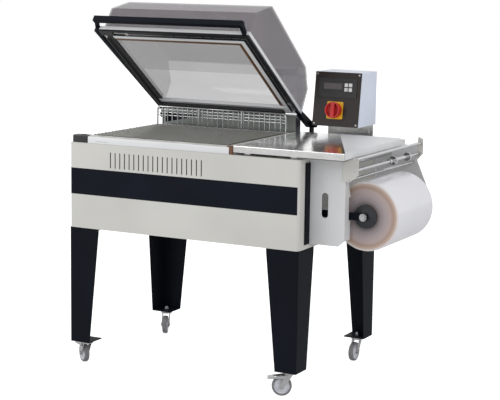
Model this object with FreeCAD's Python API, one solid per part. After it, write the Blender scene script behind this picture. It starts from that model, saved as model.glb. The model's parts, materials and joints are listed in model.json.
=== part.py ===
import FreeCAD, Part
import math
import os

# L-bar sealer: a sheet-metal cabinet on four castered legs, with a shrink chamber
# under a hinged hood on the left, and a packing table with a film reel on the right.
# Sizes are in millimetres.  While the machine is being built, x runs from the left side
# of the cabinet, y from its front panel towards the rear, and z from the floor.
# At the end everything moves sideways, so that the origin is on the floor
# under the middle of the whole machine.

V = FreeCAD.Vector
X_AXIS = V(1, 0, 0)
Y_AXIS = V(0, 1, 0)
Z_AXIS = V(0, 0, 1)

# ---------------------------------------------------------------- driving dimensions
body_width = 990.0
body_depth = 706.0
body_height = 332.0
leg_length = 458.0
caster_height = 95.0
body_sheet = 2.0
corner_radius = 12.0
pan_lip = 14.0
fit_gap = 0.3               # between neighbours that must not rub
running_gap = 0.2           # between faces that turn on each other
bolt_clearance = 0.5

# dark band on the front panel
stripe_low = 685.0
stripe_height = 101.5
stripe_length = 984.0
stripe_thickness = 0.4
stripe_wrap = 14.0

body_bottom = caster_height + leg_length
body_top = body_bottom + body_height

# legs: folded angle with a foot and a top plate
leg_sheet = 3.0
leg_top_width = 131.0
leg_foot_width = 88.0
leg_plate = 4.0
leg_top_plain = 12.0        # straight upper end of each tapered side
leg_fold_radius = 4.0
leg_bolt_radius = 4.0
leg_bolt_inset = 24.0
bolt_end = 8.0              # thread that stands past the last plate

# casters
wheel_radius = 37.5
wheel_width = 24.0
caster_trail = 30.0
axle_radius = 4.0
running_clearance = 0.08
fork_sheet = 2.5
fork_side_gap = 2.0         # between the wheel and each cheek of the fork
head_radius = 24.0
head_height = 8.0
kingpin_radius = 6.0
kingpin_head_radius = 10.0
kingpin_head_height = 3.5
kingpin_end = 12.0
nut_height = 8.0
crown_thickness = 4.0
caster_inset = 46.0         # from the cabinet's corner to the kingpin, both ways
cheek_front = 14.0
cheek_foot = 10.0
axle_head_radius = 6.5
axle_head = 3.0
hub_radius = 13.0
tread_depth = 9.0
web_step = 4.0
caster_turns = {"front_left": 144.6, "front_right": 207.6, "rear_left": 292.0, "rear_right": 270.0}
braked_casters = ("front_left", "front_right")
pedal_reach = 84.0
pedal_gap = 0.5
pedal_pivot_x = 12.0
pedal_pivot_z = 74.0
pedal_rivet = 3.0
pedal_eye = 6.0             # half the size of the pedal's end round its rivet
pedal_tread = 20.0
pedal_tread_low = 20.0      # these three are measured from the top of the fork
pedal_tread_high = 16.0
pedal_arm_high = 13.0

# louvres of the front panel
louvre_count = 20
louvre_pitch = 21.0
louvre_start = 186.0
louvre_width = 4.6
louvre_height = 61.0
louvre_below_top = 28.5

# rim round the chamber mouth, and the seal pad on it
chamber_left = 73.0
chamber_width = 638.0
chamber_front = 8.0
chamber_length = 563.0
rim_height = 26.0
rim_bar = 34.0
rim_left_bar = 14.0
rim_overhang = 11.0         # how far the rim stands out to the left of the hood's cover
rim_round = 4.0
rim_notch_gap = 2.0         # between the rim and the magnet's cover in its corner
pad_width = 20.0
pad_height = 4.0
pad_inset = 4.0
wrap_width = 15.0
wrap_sheet = 0.8
rim_slot_inset = 42.0         # from the left side of the hood's cover
rim_slot_length = 49.0
rim_slot_low = 5.0
rim_slot_height = 4.0
rim_slot_depth = 3.0

# chamber tub, air fan and heater
tub_depth = 245.0
tub_sheet = 1.5
tub_clearance = 1.0
ledge_width = 14.0
ledge_drop = 2.0            # from the top of the rim to the ledge that carries the grid
guard_ledge = 22.0          # how much wider the ledge is at the rear, for the wire guard
fan_radius = 110.0
fan_height = 42.0
fan_blades = 8
fan_floor_gap = 18.0
fan_hub_radius = 22.0
fan_shaft_radius = 6.0
fan_blade_sweep = 22.0
shaft_clearance = 2.0
motor_radius = 55.0
motor_height = 66.0
motor_gap = 8.0
motor_bore_depth = 30.0
motor_pillar_radius = 5.0
heater_ring_radius = 150.0
heater_tube_radius = 4.5
heater_foot_radius = 3.0
heater_lift = 34.0

# product grid
wire_radius = 2.0
grid_pitch = 25.0
grid_border = 6.0
grid_play = 2.0

# duct box behind the chamber, and the wire guard across the chamber's rear
duct_left = 58.0
duct_width = 617.0
duct_setback = 100.0        # from the rear of the cabinet to the duct's face
duct_depth = 44.0
duct_height = 92.0
duct_sheet = 1.5
duct_corner = 12.0
outlet_inset = 10.0
outlet_low = 30.0
outlet_top = 74.0
outlet_length = 210.0
outlet_bar_pitch = 28.0
outlet_bar = 5.0
guard_side_inset = 4.0      # from the sides of the tub
guard_setback = 15.0        # from the rear of the tub
guard_height = 80.0
guard_bend = 14.0
guard_rail_step = 12.0
guard_wire = 1.75
guard_pitch = 23.5
guard_post = 3.0

# hood
hinge_from_front = 664.0    # from the hood's front edge to its hinge, hood shut
frame_height = 24.0         # from the underside of the seal frame to the cover's edge
open_angle = 35.9
shut_gap = 1.0              # between the shut frame and the pad
cover_sheet = 4.0
cover_front_wall = 84.0
cover_peak = 176.0
cover_front_slope = 90.0
cover_rear_top = 155.0
cover_rear_slope = 82.0
cover_rear_wall = 96.0
cover_rear_lean = 10.0
frame_plate = 15.0
frame_overhang = 21.0       # how far the seal frame stands out to the left of the cover
front_bar = 68.0
left_bar = 47.0
rear_bar = 41.0
window_radius = 10.0
guard_side_play = 5.0       # between the wire guard and the frame that shuts round it
guard_front_play = 14.0
holder_width = 32.0
press_strip_width = 20.0
press_strip_rise = 3.0      # from the shut underside up to the strips
guard_strip_height = 4.0
gasket_width = 28.0
gasket_height = 6.0
gasket_inset = 2.0
lip_width = 11.0
blade_thickness = 2.0
blade_height = 5.6
blade_groove = 3.0
blade_proud = 0.6
tensioner_length = 128.0
rear_tensioner_length = 96.0
tensioner_pocket = 70.0
pocket_width = 20.0
tensioner_block = 14.0
tensioner_rod = 2.0
tensioner_reach = 66.0
tensioner_coil = 3.6
tensioner_coil_width = 1.8
tensioner_coil_pitch = 3.4
tensioner_coils = 12

# hinge
arm_width = 19.0
pin_radius = 7.0
hinge_eye = 14.0
bracket_plate = 8.0
bracket_boss = 24.0
boss_radius = 13.0
bracket_depth = 38.0
bracket_foot = 6.0
lap_length = 26.0
arm_sheet = 3.0
arm_height = 22.0           # of the hinge arms at the frame's rear edge
arm_waist = 82.0            # from the hinge to the slimmest place of the left arm
arm_waist_height = 7.0
side_play = 0.5
pin_cap = 3.0

# handle
handle_reach = 46.0         # from the hood's front edge to the middle of the grip
handle_depth = 20.0
handle_bar = 24.0
handle_arm = 14.0
handle_right_inset = 12.0
handle_drop = 12.0          # from the cover's edge down to the grip's underside
handle_edge_radius = 3.0
grip_left_inset = 2.0       # of the grip's left end, from the seal frame's left side
elbow_length = 30.0         # along the left arm, from the hood's front edge
arm_step = 4.0

# hood magnet
magnet_cover_width = 75.0
magnet_cover_depth = 44.0
magnet_cover_setback = 14.0
magnet_radius = 11.0
magnet_proud = 2.0
magnet_cover_round = 10.0
magnet_edge_round = 4.0

# packing table
table_overhang = 171.0      # past the right side of the cabinet
table_gap = 6.0             # between the hood and the table
table_front = 3.0
table_depth = 571.0
table_above_body = 35.0
table_flange = 25.0
table_sheet = 2.0
spreader_sheet = 1.5
spreader_skirt = 22.0
spreader_base = 275.0       # along the rear edge of the table
spreader_corner = 26.0
spreader_margin = 5.0
table_bend = 3.0
rail_inset = 30.0
rail_width = 24.0

# film carriage
plate_sheet = 3.0
carriage_front = 79.0
carriage_rear = 700.0
plate_reach = 145.0         # how far the front plate stands out from the cabinet
plate_bottom = 18.0         # above the underside of the cabinet
plate_chamfer_x = 25.0
plate_chamfer_z = 21.0
flange_depth = 48.0
flange_notch = 14.0
slot_width = 26.0
slot_height = 92.0
slot_from_body = 65.0       # to the middle of the slot
slot_bottom = 118.0         # above the underside of the cabinet
guide_thickness = 6.0
guide_depth = 34.0
guide_length = 299.0
plate_top_drop = 3.0
notch_bottom = 111.0        # above the underside of the cabinet
notch_height = 85.0
lug_sheet = 3.0
lug_depth = 24.0
rear_plate_reach = 172.0
rear_plate_slope = 55.0
hook_width = 40.0
hook_depth = 18.0
hook_above = 34.0
tie_bar_radius = 8.0
tie_bar_places = ((60.0, 40.0), (40.0, 270.0))      # from the cabinet's side, under its top

# film reel
reel_from_body = 201.0
reel_height = 127.0         # above the underside of the cabinet
shaft_radius = 10.0
reel_arm_thickness = 8.0
reel_arm_height = 26.0
reel_arm_gap = 36.0         # from the front plate to the arm
roll_radius = 127.0
roll_length = 341.0
roll_setback = 58.0         # from the front plate to the roll
core_outer = 42.0
core_wall = 4.0
core_proud = 3.0
cone_flange = 43.0
cone_depth = 25.0
cone_play = 0.2
cone_boss = 6.0
cone_boss_radius = 18.0
roll_edge = 3.0
shaft_overhang = 14.0
collar_step = 4.0
collar_width = 6.0
collar_gap = 2.0

# film rollers
bracket_sheet = 3.0
bracket_reach = 133.0       # from the cabinet's side
bracket_length = 62.0
bracket_slope = 20.0
bracket_low_corner = 106.0
bracket_high_corner = 41.0
bracket_shoulder = 20.0
bracket_rise = -50.0
bracket_depth_outer = 84.0
bracket_toe = 26.0
bracket_step = 5.0
rear_bracket_lift = 14.0
roller_end_gap = 2.0
journal_radius = 4.0
rollers = {
    # name: distance from the cabinet side, distance under the table top, radius
    "film_roller_top": (185.0, 28.0, 6.0),
    "pin_roller": (180.0, 69.0, 7.0),
    "film_guide_bar": (160.0, 103.0, 5.0),
}
pin_wheel_radius = 16.0
pin_wheel_width = 9.0
pin_wheel_places = (431.0, 571.0)
guide_ring_radius = 10.0
guide_ring_place = 394.0
pin_count = 12
pin_thickness = 1.6
pin_length = 3.0

# control box
box_left = 784.0
box_width = 196.0
box_height = 210.0
box_depth = 173.0
box_top_depth = 143.0
box_above_body = 68.0
box_sheet = 2.0
panel_thickness = 3.0
bracket_steel = 2.5
box_round = 4.0
bracket_lap = 60.0
bracket_margin = 12.0
bracket_top_gap = 30.0
bracket_screw_up = 30.0
bracket_screw_inset = 30.0
bezel_lip = 6.0
controller_depth = 40.0
bezel_width = 160.0
bezel_height = 74.0
bezel_left = 20.0
bezel_from_top = 25.0
bezel_thickness = 3.0
key_size = 14.0
key_pitch = 18.0
key_height = 4.0
key_travel = 1.2
key_well = 4.5
key_round = 2.0
keys_left = 108.0           # inside the bezel
keys_from_top = 17.0
key_play = 0.25
display_left = 19.0
display_from_top = 18.0
display_width = 79.0
display_height = 24.0
display_recess = 1.0
switch_size = 68.0
switch_left = 60.0
switch_from_top = 115.0
switch_plate_thickness = 4.0
knob_radius = 31.0
knob_height = 25.0
knob_shaft_radius = 5.0
knob_shaft_depth = 30.0
knob_floor = 9.0            # under the two finger pockets
knob_wall = 4.5
knob_grip = 15.0
switch_round = 5.0
screw_inset = 9.0
screw_radius = 3.5
screw_height = 2.0

# ---------------------------------------------------------------- places worked out
rim_top = body_top + rim_height
pad_top = rim_top + pad_height
frame_bottom = pad_top + shut_gap
cover_edge = frame_bottom + frame_height
hood_left = chamber_left
hood_right = chamber_left + chamber_width
hood_front = chamber_front
hood_rear = chamber_front + chamber_length
frame_left = hood_left - frame_overhang
rim_left = hood_left - rim_overhang
rim_front_left = magnet_cover_width + rim_notch_gap
hinge_y = hood_front + hinge_from_front
hinge_z = cover_edge
right_arm_left = hood_right - arm_width
left_arm_left = frame_left - arm_width
table_left = hood_right + table_gap
table_right = body_width + table_overhang
table_rear = table_front + table_depth
table_top = body_top + table_above_body
plate_right = body_width + plate_reach
plate_low = body_bottom + plate_bottom
reel_x = body_width + reel_from_body
reel_z = body_bottom + reel_height
roll_front = carriage_front + plate_sheet + roll_setback
reel_arm_front = carriage_front + plate_sheet + reel_arm_gap
tub_left = rim_left + rim_left_bar + tub_clearance
tub_right = hood_right - rim_bar - tub_clearance
tub_front = chamber_front + rim_bar + tub_clearance
tub_rear = hood_rear - rim_bar - tub_clearance
tub_floor = body_top - tub_depth
ledge_top = rim_top - ledge_drop
guard_left = tub_left + guard_side_inset
guard_right = tub_right - guard_side_inset
guard_y = tub_rear - guard_setback
strip_end = guard_y - guard_front_play
duct_front = body_depth - duct_setback
fan_x = (tub_left + tub_right) / 2
fan_y = (tub_front + tub_rear) / 2


# ---------------------------------------------------------------- small helpers
def block(x0, x1, y0, y1, z0, z1):
    """A box between two corners."""
    return Part.makeBox(x1 - x0, y1 - y0, z1 - z0, V(x0, y0, z0))


def outline(points, push):
    """A flat outline through the points, pushed along a vector into a solid."""
    wire = Part.makePolygon(points + [points[0]])
    return Part.Face(wire).extrude(push)


def sheet_xz(points, y, thickness):
    """A sheet that faces the front: points are (x, z)."""
    return outline([V(x, y, z) for x, z in points], V(0, thickness, 0))


def sheet_yz(points, x, thickness):
    """A sheet that faces the side: points are (y, z)."""
    return outline([V(x, y, z) for y, z in points], V(thickness, 0, 0))


def sheet_xy(points, z, thickness):
    """A level sheet: points are (x, y)."""
    return outline([V(x, y, z) for x, y in points], V(0, 0, thickness))


def turned(profile, base, axis, side):
    """A profile of (radius, height) points turned a full circle about an axis."""
    points = [base + side * r + axis * h for r, h in profile]
    wire = Part.makePolygon(points + [points[0]])
    return Part.Face(wire).revolve(base, axis, 360)


def fused(shapes):
    """Several solids welded into one, without seams between coplanar faces."""
    return shapes[0].multiFuse(shapes[1:]).removeSplitter()


def group(shapes):
    """Separate solids that share one node."""
    return Part.makeCompound(shapes)


def upright_edges(shape, places, reach=0.01):
    """The vertical edges that stand at the given (x, y) places."""
    found = []
    for edge in shape.Edges:
        first, last = edge.Vertexes[0].Point, edge.Vertexes[-1].Point
        level = abs(first.x - last.x) + abs(first.y - last.y)
        if level > reach:
            continue
        if any(abs(first.x - x) + abs(first.y - y) < reach for x, y in places):
            found.append(edge)
    return found


def slot_cutter(x, z_low, z_high, width, y0, y1):
    """A slot with round ends that stands upright in a sheet facing the front."""
    radius = width / 2
    straight = block(x - radius, x + radius, y0, y1, z_low + radius, z_high - radius)
    ends = [Part.makeCylinder(radius, y1 - y0, V(x, y0, z), Y_AXIS)
            for z in (z_low + radius, z_high - radius)]
    return straight.fuse(ends[0]).fuse(ends[1])


def hex_bolt(place, direction, shank_radius, shank_length):
    """A hexagon head on its seat at place, with the shank along direction."""
    head_radius_here = shank_radius * 1.85
    head = Part.makeCylinder(head_radius_here, shank_radius * 1.3, V(0, 0, 0), Z_AXIS)
    corners = [V(head_radius_here * math.cos(math.radians(60 * n)),
                 head_radius_here * math.sin(math.radians(60 * n)), 0) for n in range(6)]
    head = outline(corners, V(0, 0, -shank_radius * 1.3))
    shank = Part.makeCylinder(shank_radius, shank_length, V(0, 0, 0), Z_AXIS)
    bolt = head.fuse(shank)
    bolt.Placement = FreeCAD.Placement(place, FreeCAD.Rotation(Z_AXIS, direction))
    return bolt


# ---------------------------------------------------------------- cabinet
def body_outer(low, high, grow=0.0):
    """The cabinet's outside with its four rounded upright corners."""
    shape = block(-grow, body_width + grow, -grow, body_depth + grow, low, high)
    corners = [(x, y) for x in (-grow, body_width + grow) for y in (-grow, body_depth + grow)]
    return shape.makeFillet(corner_radius + grow, upright_edges(shape, corners))


def body_shell():
    """The folded casing: four walls and the deck, with the chamber mouth and the louvres."""
    outer = body_outer(body_bottom, body_top)
    inner = block(body_sheet, body_width - body_sheet, body_sheet, body_depth - body_sheet,
                  body_bottom, body_top - body_sheet)
    inner_corners = [(x, y) for x in (body_sheet, body_width - body_sheet)
                     for y in (body_sheet, body_depth - body_sheet)]
    inner = inner.makeFillet(corner_radius - body_sheet, upright_edges(inner, inner_corners))
    shell = outer.cut(inner)
    mouth = block(tub_left - tub_clearance, tub_right + tub_clearance, tub_front - tub_clearance,
                  tub_rear + tub_clearance, body_top - 2 * body_sheet, body_top + 1)
    slots = [slot_cutter(louvre_start + n * louvre_pitch, body_top - louvre_below_top - louvre_height,
                         body_top - louvre_below_top, louvre_width, -1, 2 * body_sheet)
             for n in range(louvre_count)]
    return shell.cut(mouth).cut(group(slots))


def base_pan():
    """The floor of the cabinet, with a lip turned up inside the casing."""
    low_x, high_x = body_sheet + fit_gap, body_width - body_sheet - fit_gap
    low_y, high_y = body_sheet + fit_gap, body_depth - body_sheet - fit_gap
    pan = block(low_x, high_x, low_y, high_y, body_bottom, body_bottom + pan_lip)
    corners = [(x, y) for x in (low_x, high_x) for y in (low_y, high_y)]
    pan = pan.makeFillet(corner_radius - body_sheet, upright_edges(pan, corners))
    inside = block(low_x + body_sheet, high_x - body_sheet, low_y + body_sheet, high_y - body_sheet,
                   body_bottom + body_sheet, body_bottom + 2 * pan_lip)
    inside_corners = [(x, y) for x in (low_x + body_sheet, high_x - body_sheet)
                      for y in (low_y + body_sheet, high_y - body_sheet)]
    inside = inside.makeFillet(corner_radius - 2 * body_sheet, upright_edges(inside, inside_corners))
    return pan.cut(inside).cut(group(leg_bolt_holes()))


def front_stripe():
    """The dark film band on the front panel, turned round the left corner."""
    band = body_outer(stripe_low, stripe_low + stripe_height, stripe_thickness)
    band = band.cut(body_outer(stripe_low, stripe_low + stripe_height))
    keep = block(-stripe_thickness, stripe_length, -stripe_thickness, corner_radius + stripe_wrap,
                 stripe_low, stripe_low + stripe_height)
    left_only = block(corner_radius, stripe_length, stripe_thickness, corner_radius + stripe_wrap,
                      stripe_low, stripe_low + stripe_height)
    return band.common(keep.cut(left_only))


# ---------------------------------------------------------------- legs
def leg_turns():
    """Name, corner and the inward directions of each leg."""
    return {
        "front_left": (0.0, 0.0, 1, 1),
        "front_right": (body_width, 0.0, -1, 1),
        "rear_left": (0.0, body_depth, 1, -1),
        "rear_right": (body_width, body_depth, -1, -1),
    }


def placed_in_corner(shape, corner):
    """Mirror a shape made for the front left corner into another corner."""
    x, y, way_x, way_y = corner
    if way_x < 0:
        shape = shape.mirror(V(0, 0, 0), X_AXIS)
    if way_y < 0:
        shape = shape.mirror(V(0, 0, 0), Y_AXIS)
    shape.translate(V(x, y, 0))
    return shape


def leg_bolt_places():
    """Where the bolts of the front left leg stand, from its corner."""
    far = leg_top_width - leg_bolt_inset
    return [(far, leg_bolt_inset), (leg_bolt_inset, far)]


def leg_bolt_holes():
    """Bolt holes through the cabinet floor and the top plates of the legs."""
    holes = [Part.makeCylinder(leg_bolt_radius + bolt_clearance, 4 * leg_plate,
                               V(x, y, body_bottom - 2 * leg_plate)) for x, y in leg_bolt_places()]
    return [placed_in_corner(hole.copy(), corner) for corner in leg_turns().values() for hole in holes]


def leg():
    """A folded angle that tapers to its foot, with a welded foot and top plate."""
    low, high = caster_height, body_bottom
    profile = [(0, low), (leg_foot_width, low), (leg_top_width, high - leg_top_plain), (leg_top_width, high),
               (0, high)]
    front = sheet_xz(profile, 0, leg_sheet)
    side = sheet_yz(profile, 0, leg_sheet)
    foot = block(0, leg_foot_width, 0, leg_foot_width, low, low + leg_plate)
    top = block(0, leg_top_width, 0, leg_top_width, high - leg_plate, high)
    shape = fused([front, side, foot, top])
    shape = shape.makeFillet(leg_fold_radius, upright_edges(shape, [(0, 0)]))
    stem = Part.makeCylinder(kingpin_radius + bolt_clearance, 3 * leg_plate,
                             V(caster_inset, caster_inset, low - leg_plate))
    holes = [Part.makeCylinder(leg_bolt_radius + bolt_clearance, 3 * leg_plate,
                               V(x, y, high - 2 * leg_plate)) for x, y in leg_bolt_places()]
    return shape.cut(group([stem] + holes))


def leg_bolts():
    """Two bolts in the top plate of each leg, up into the cabinet floor."""
    seat = body_bottom - leg_plate
    bolts = [hex_bolt(V(x, y, seat), Z_AXIS, leg_bolt_radius, leg_plate + body_sheet + bolt_end)
             for x, y in leg_bolt_places()]
    return [placed_in_corner(bolt.copy(), corner) for corner in leg_turns().values() for bolt in bolts]


# ---------------------------------------------------------------- casters
def caster_corner(name):
    """The point on the floor under a caster's kingpin."""
    x, y, way_x, way_y = leg_turns()[name]
    return V(x + way_x * caster_inset, y + way_y * caster_inset, 0)


def turned_caster(shape, name):
    """Turn a shape made with its trail along +x to the way this caster stands."""
    shape.rotate(V(0, 0, 0), Z_AXIS, caster_turns[name])
    shape.translate(caster_corner(name))
    return shape


def caster_kingpins():
    """The bolt of each swivel head: hexagon head, collar and threaded end with its nut."""
    crown_low = caster_height - head_height - crown_thickness
    pins = []
    for name in caster_turns:
        base = caster_corner(name)
        collar = Part.makeCylinder(head_radius, head_height - running_gap, base + V(0, 0, crown_low
                                   + crown_thickness + running_gap))
        shank = Part.makeCylinder(kingpin_radius, head_height + crown_thickness + leg_plate + kingpin_end,
                                  base + V(0, 0, crown_low))
        head = Part.makeCylinder(kingpin_head_radius, kingpin_head_height,
                                 base + V(0, 0, crown_low - kingpin_head_height - running_gap))
        neck = Part.makeCylinder(kingpin_radius, running_gap, base + V(0, 0, crown_low - running_gap))
        nut = Part.makeCylinder(kingpin_head_radius, nut_height, base + V(0, 0, caster_height + leg_plate))
        pins.append(fused([collar, shank, head, neck, nut]))
    return pins


def caster_fork(name):
    """The pressed fork: a round crown, and two cheeks swept back to the axle, with the axle bolt."""
    crown_high = caster_height - head_height
    crown_low = crown_high - crown_thickness
    crown = Part.makeCylinder(head_radius, crown_thickness, V(0, 0, crown_low))
    half = wheel_width / 2 + fork_side_gap
    cheek_outline = [(-cheek_front, crown_high), (cheek_front, crown_high), (caster_trail + cheek_foot, wheel_radius),
                     (caster_trail + cheek_foot / 2, wheel_radius - cheek_foot),
                     (caster_trail - cheek_foot / 2, wheel_radius - cheek_foot)]
    cheeks = [sheet_xz(cheek_outline, y, fork_sheet) for y in (-half - fork_sheet, half)]
    bridge = block(-cheek_front, cheek_front, -half - fork_sheet, half + fork_sheet, crown_low, crown_high)
    fork = fused([crown, bridge] + cheeks)
    bore = Part.makeCylinder(kingpin_radius + running_clearance, 2 * head_height, V(0, 0, crown_low - 2))
    axle_bore = Part.makeCylinder(axle_radius, 4 * half, V(caster_trail, -2 * half, wheel_radius), Y_AXIS)
    fork = fork.cut(bore).cut(axle_bore)
    if name in braked_casters:
        fork = fork.multiFuse(pedal_rivets(half + fork_sheet))
    axle = Part.makeCylinder(axle_radius, 2 * (half + fork_sheet),
                             V(caster_trail, -half - fork_sheet, wheel_radius), Y_AXIS)
    for y, way in ((-half - fork_sheet, -1), (half + fork_sheet, 1)):
        axle = axle.fuse(Part.makeCylinder(axle_head_radius, axle_head,
                                           V(caster_trail, y, wheel_radius), Y_AXIS * way))
    return turned_caster(group([fork, axle.removeSplitter()]), name)


def pedal_rivets(face):
    """The two rivets on the cheeks of the fork that the brake pedal turns on."""
    length = pedal_gap + fork_sheet + running_gap
    rivets = []
    for way in (-1, 1):
        base = V(pedal_pivot_x, way * face, pedal_pivot_z)
        rivets.append(Part.makeCylinder(pedal_rivet, length, base, Y_AXIS * way))
        rivets.append(Part.makeCylinder(1.6 * pedal_rivet, fork_sheet / 2, base + Y_AXIS * way * length,
                                        Y_AXIS * way))
    return rivets


def caster_wheel(name):
    """A disc wheel with a rounded rubber tread and a hub that clears the axle."""
    half = wheel_width / 2
    bore = axle_radius + running_clearance
    profile = [(bore, -half), (hub_radius, -half), (hub_radius + 2, -half + web_step),
               (wheel_radius - tread_depth, -half + web_step), (wheel_radius - tread_depth + 2, -half + 1),
               (wheel_radius - 3, -half + 1), (wheel_radius, -half + 5), (wheel_radius, half - 5),
               (wheel_radius - 3, half - 1), (wheel_radius - tread_depth + 2, half - 1),
               (wheel_radius - tread_depth, half - web_step), (hub_radius + 2, half - web_step),
               (hub_radius, half), (bore, half)]
    return turned_caster(turned(profile, V(caster_trail, 0, wheel_radius), Y_AXIS, X_AXIS), name)


def brake_pedal(name):
    """The foot pedal that wedges against the tread, hinged under the crown of the fork."""
    half = wheel_width / 2 + fork_side_gap + fork_sheet + pedal_gap
    top = caster_height - head_height
    heel, tip = pedal_reach - pedal_tread, pedal_reach
    arm = [(pedal_pivot_x - pedal_eye, pedal_pivot_z - pedal_eye),
           (pedal_pivot_x + pedal_eye, pedal_pivot_z - pedal_eye),
           (heel, top - pedal_tread_low), (tip, top - pedal_tread_low), (tip, top - pedal_tread_high),
           (heel, top - pedal_arm_high), (pedal_pivot_x + pedal_eye, pedal_pivot_z + pedal_eye),
           (pedal_pivot_x - pedal_eye, pedal_pivot_z + pedal_eye)]
    cheeks = [sheet_xz(arm, y, fork_sheet) for y in (-half - fork_sheet, half)]
    tread = sheet_xz([(heel - pedal_eye, top - pedal_tread_high), (heel, top - pedal_arm_high),
                      (tip, top - pedal_tread_high), (tip, top - pedal_tread_low)],
                     -half - fork_sheet, 2 * (half + fork_sheet))
    hole = Part.makeCylinder(pedal_rivet + running_clearance, 4 * half,
                             V(pedal_pivot_x, -2 * half, pedal_pivot_z), Y_AXIS)
    return turned_caster(fused(cheeks + [tread]).cut(hole), name)


# ---------------------------------------------------------------- chamber
def chamber_tub():
    """The shrink tub: an open sheet box with a ledge at its mouth that carries the grid."""
    outer = block(tub_left, tub_right, tub_front, tub_rear, tub_floor, ledge_top)
    inner = block(tub_left + tub_sheet, tub_right - tub_sheet, tub_front + tub_sheet, tub_rear - tub_sheet,
                  tub_floor + tub_sheet, ledge_top + 1)
    ledge = block(tub_left, tub_right, tub_front, tub_rear, ledge_top - tub_sheet, ledge_top)
    ledge = ledge.cut(block(tub_left + ledge_width, tub_right - ledge_width, tub_front + ledge_width,
                            tub_rear - ledge_width - guard_ledge, tub_floor, ledge_top + 1))
    hole = Part.makeCylinder(fan_shaft_radius + shaft_clearance, 4 * tub_sheet,
                             V(fan_x, fan_y, tub_floor - tub_sheet))
    return fused([outer.cut(inner), ledge]).cut(hole)


def rim_frame():
    """The welded frame round the chamber mouth, with a shallow slot in its front face."""
    outer = block(rim_left, hood_right, hood_front, hood_rear, body_top, rim_top)
    front_top = [e for e in outer.Edges if e.BoundBox.YMax < hood_front + 0.01 and e.BoundBox.ZMin > rim_top - 0.01]
    outer = outer.makeFillet(rim_round, front_top)
    mouth = block(rim_left + rim_left_bar, hood_right - rim_bar, hood_front + rim_bar, hood_rear - rim_bar,
                  body_top - 1, rim_top + 1)
    notch = block(rim_left - 1, rim_front_left, hood_front - 1,
                  magnet_cover_setback + magnet_cover_depth + rim_notch_gap, body_top - 1, rim_top + 1)
    slot = block(hood_left + rim_slot_inset, hood_left + rim_slot_inset + rim_slot_length, hood_front - 1,
                 hood_front + rim_slot_depth, body_top + rim_slot_low, body_top + rim_slot_low + rim_slot_height)
    return outer.cut(mouth).cut(notch).cut(slot)


def seal_pads():
    """The two pads that the blade presses on, along the front and the right of the rim."""
    middle_y = hood_front + rim_bar / 2
    middle_x = hood_right - rim_bar / 2
    low_y, high_y = middle_y - pad_width / 2, middle_y + pad_width / 2
    low_x, high_x = middle_x - pad_width / 2, middle_x + pad_width / 2
    front = block(rim_front_left + pad_inset, low_x - fit_gap, low_y, high_y, rim_top, pad_top)
    side = block(low_x, high_x, high_y + fit_gap, hood_rear - pad_inset, rim_top, pad_top)
    corner = block(low_x, high_x, low_y, high_y, rim_top, pad_top)
    return [front, side, corner]


def pad_wrap():
    """The coated cloth folded down over the right end of the front bar."""
    outer = block(hood_right - wrap_width, hood_right + wrap_sheet, hood_front - wrap_sheet,
                  hood_front + rim_bar / 2 - pad_width / 2 - fit_gap, body_top + fit_gap, rim_top + wrap_sheet)
    inner = block(hood_right - 2 * wrap_width, hood_right, hood_front, hood_front + rim_bar,
                  body_top, rim_top)
    return outer.cut(inner)


def product_grid():
    """Two crossing layers of round wire inside a wire border, resting on the ledge."""
    x0, x1 = tub_left + grid_play, tub_right - grid_play
    y0, y1 = tub_front + grid_play, tub_rear - guard_ledge - grid_play
    low_z, high_z = ledge_top + wire_radius, ledge_top + 3 * wire_radius
    wires = []
    long_count = int((x1 - x0 - 2 * grid_border) / grid_pitch)
    long_step = (x1 - x0 - 2 * grid_border) / long_count
    for n in range(long_count + 1):
        x = x0 + grid_border + n * long_step
        wires.append(Part.makeCylinder(wire_radius, y1 - y0, V(x, y0, low_z), Y_AXIS))
    cross_count = int((y1 - y0 - 2 * grid_border) / grid_pitch)
    cross_step = (y1 - y0 - 2 * grid_border) / cross_count
    for n in range(cross_count + 1):
        y = y0 + grid_border + n * cross_step
        wires.append(Part.makeCylinder(wire_radius, x1 - x0, V(x0, y, high_z), X_AXIS))
    return group(wires)


def heating_element():
    """The ring heater round the fan, on three feet that stand on the tub's floor."""
    height = tub_floor + tub_sheet + heater_lift
    ring = Part.makeTorus(heater_ring_radius, heater_tube_radius, V(fan_x, fan_y, height), Z_AXIS)
    feet = []
    for n in range(3):
        angle = math.radians(90 + 120 * n)
        foot_x = fan_x + heater_ring_radius * math.cos(angle)
        foot_y = fan_y + heater_ring_radius * math.sin(angle)
        feet.append(Part.makeCylinder(heater_foot_radius, heater_lift,
                                      V(foot_x, foot_y, tub_floor + tub_sheet)))
    return ring.multiFuse(feet)


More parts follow.
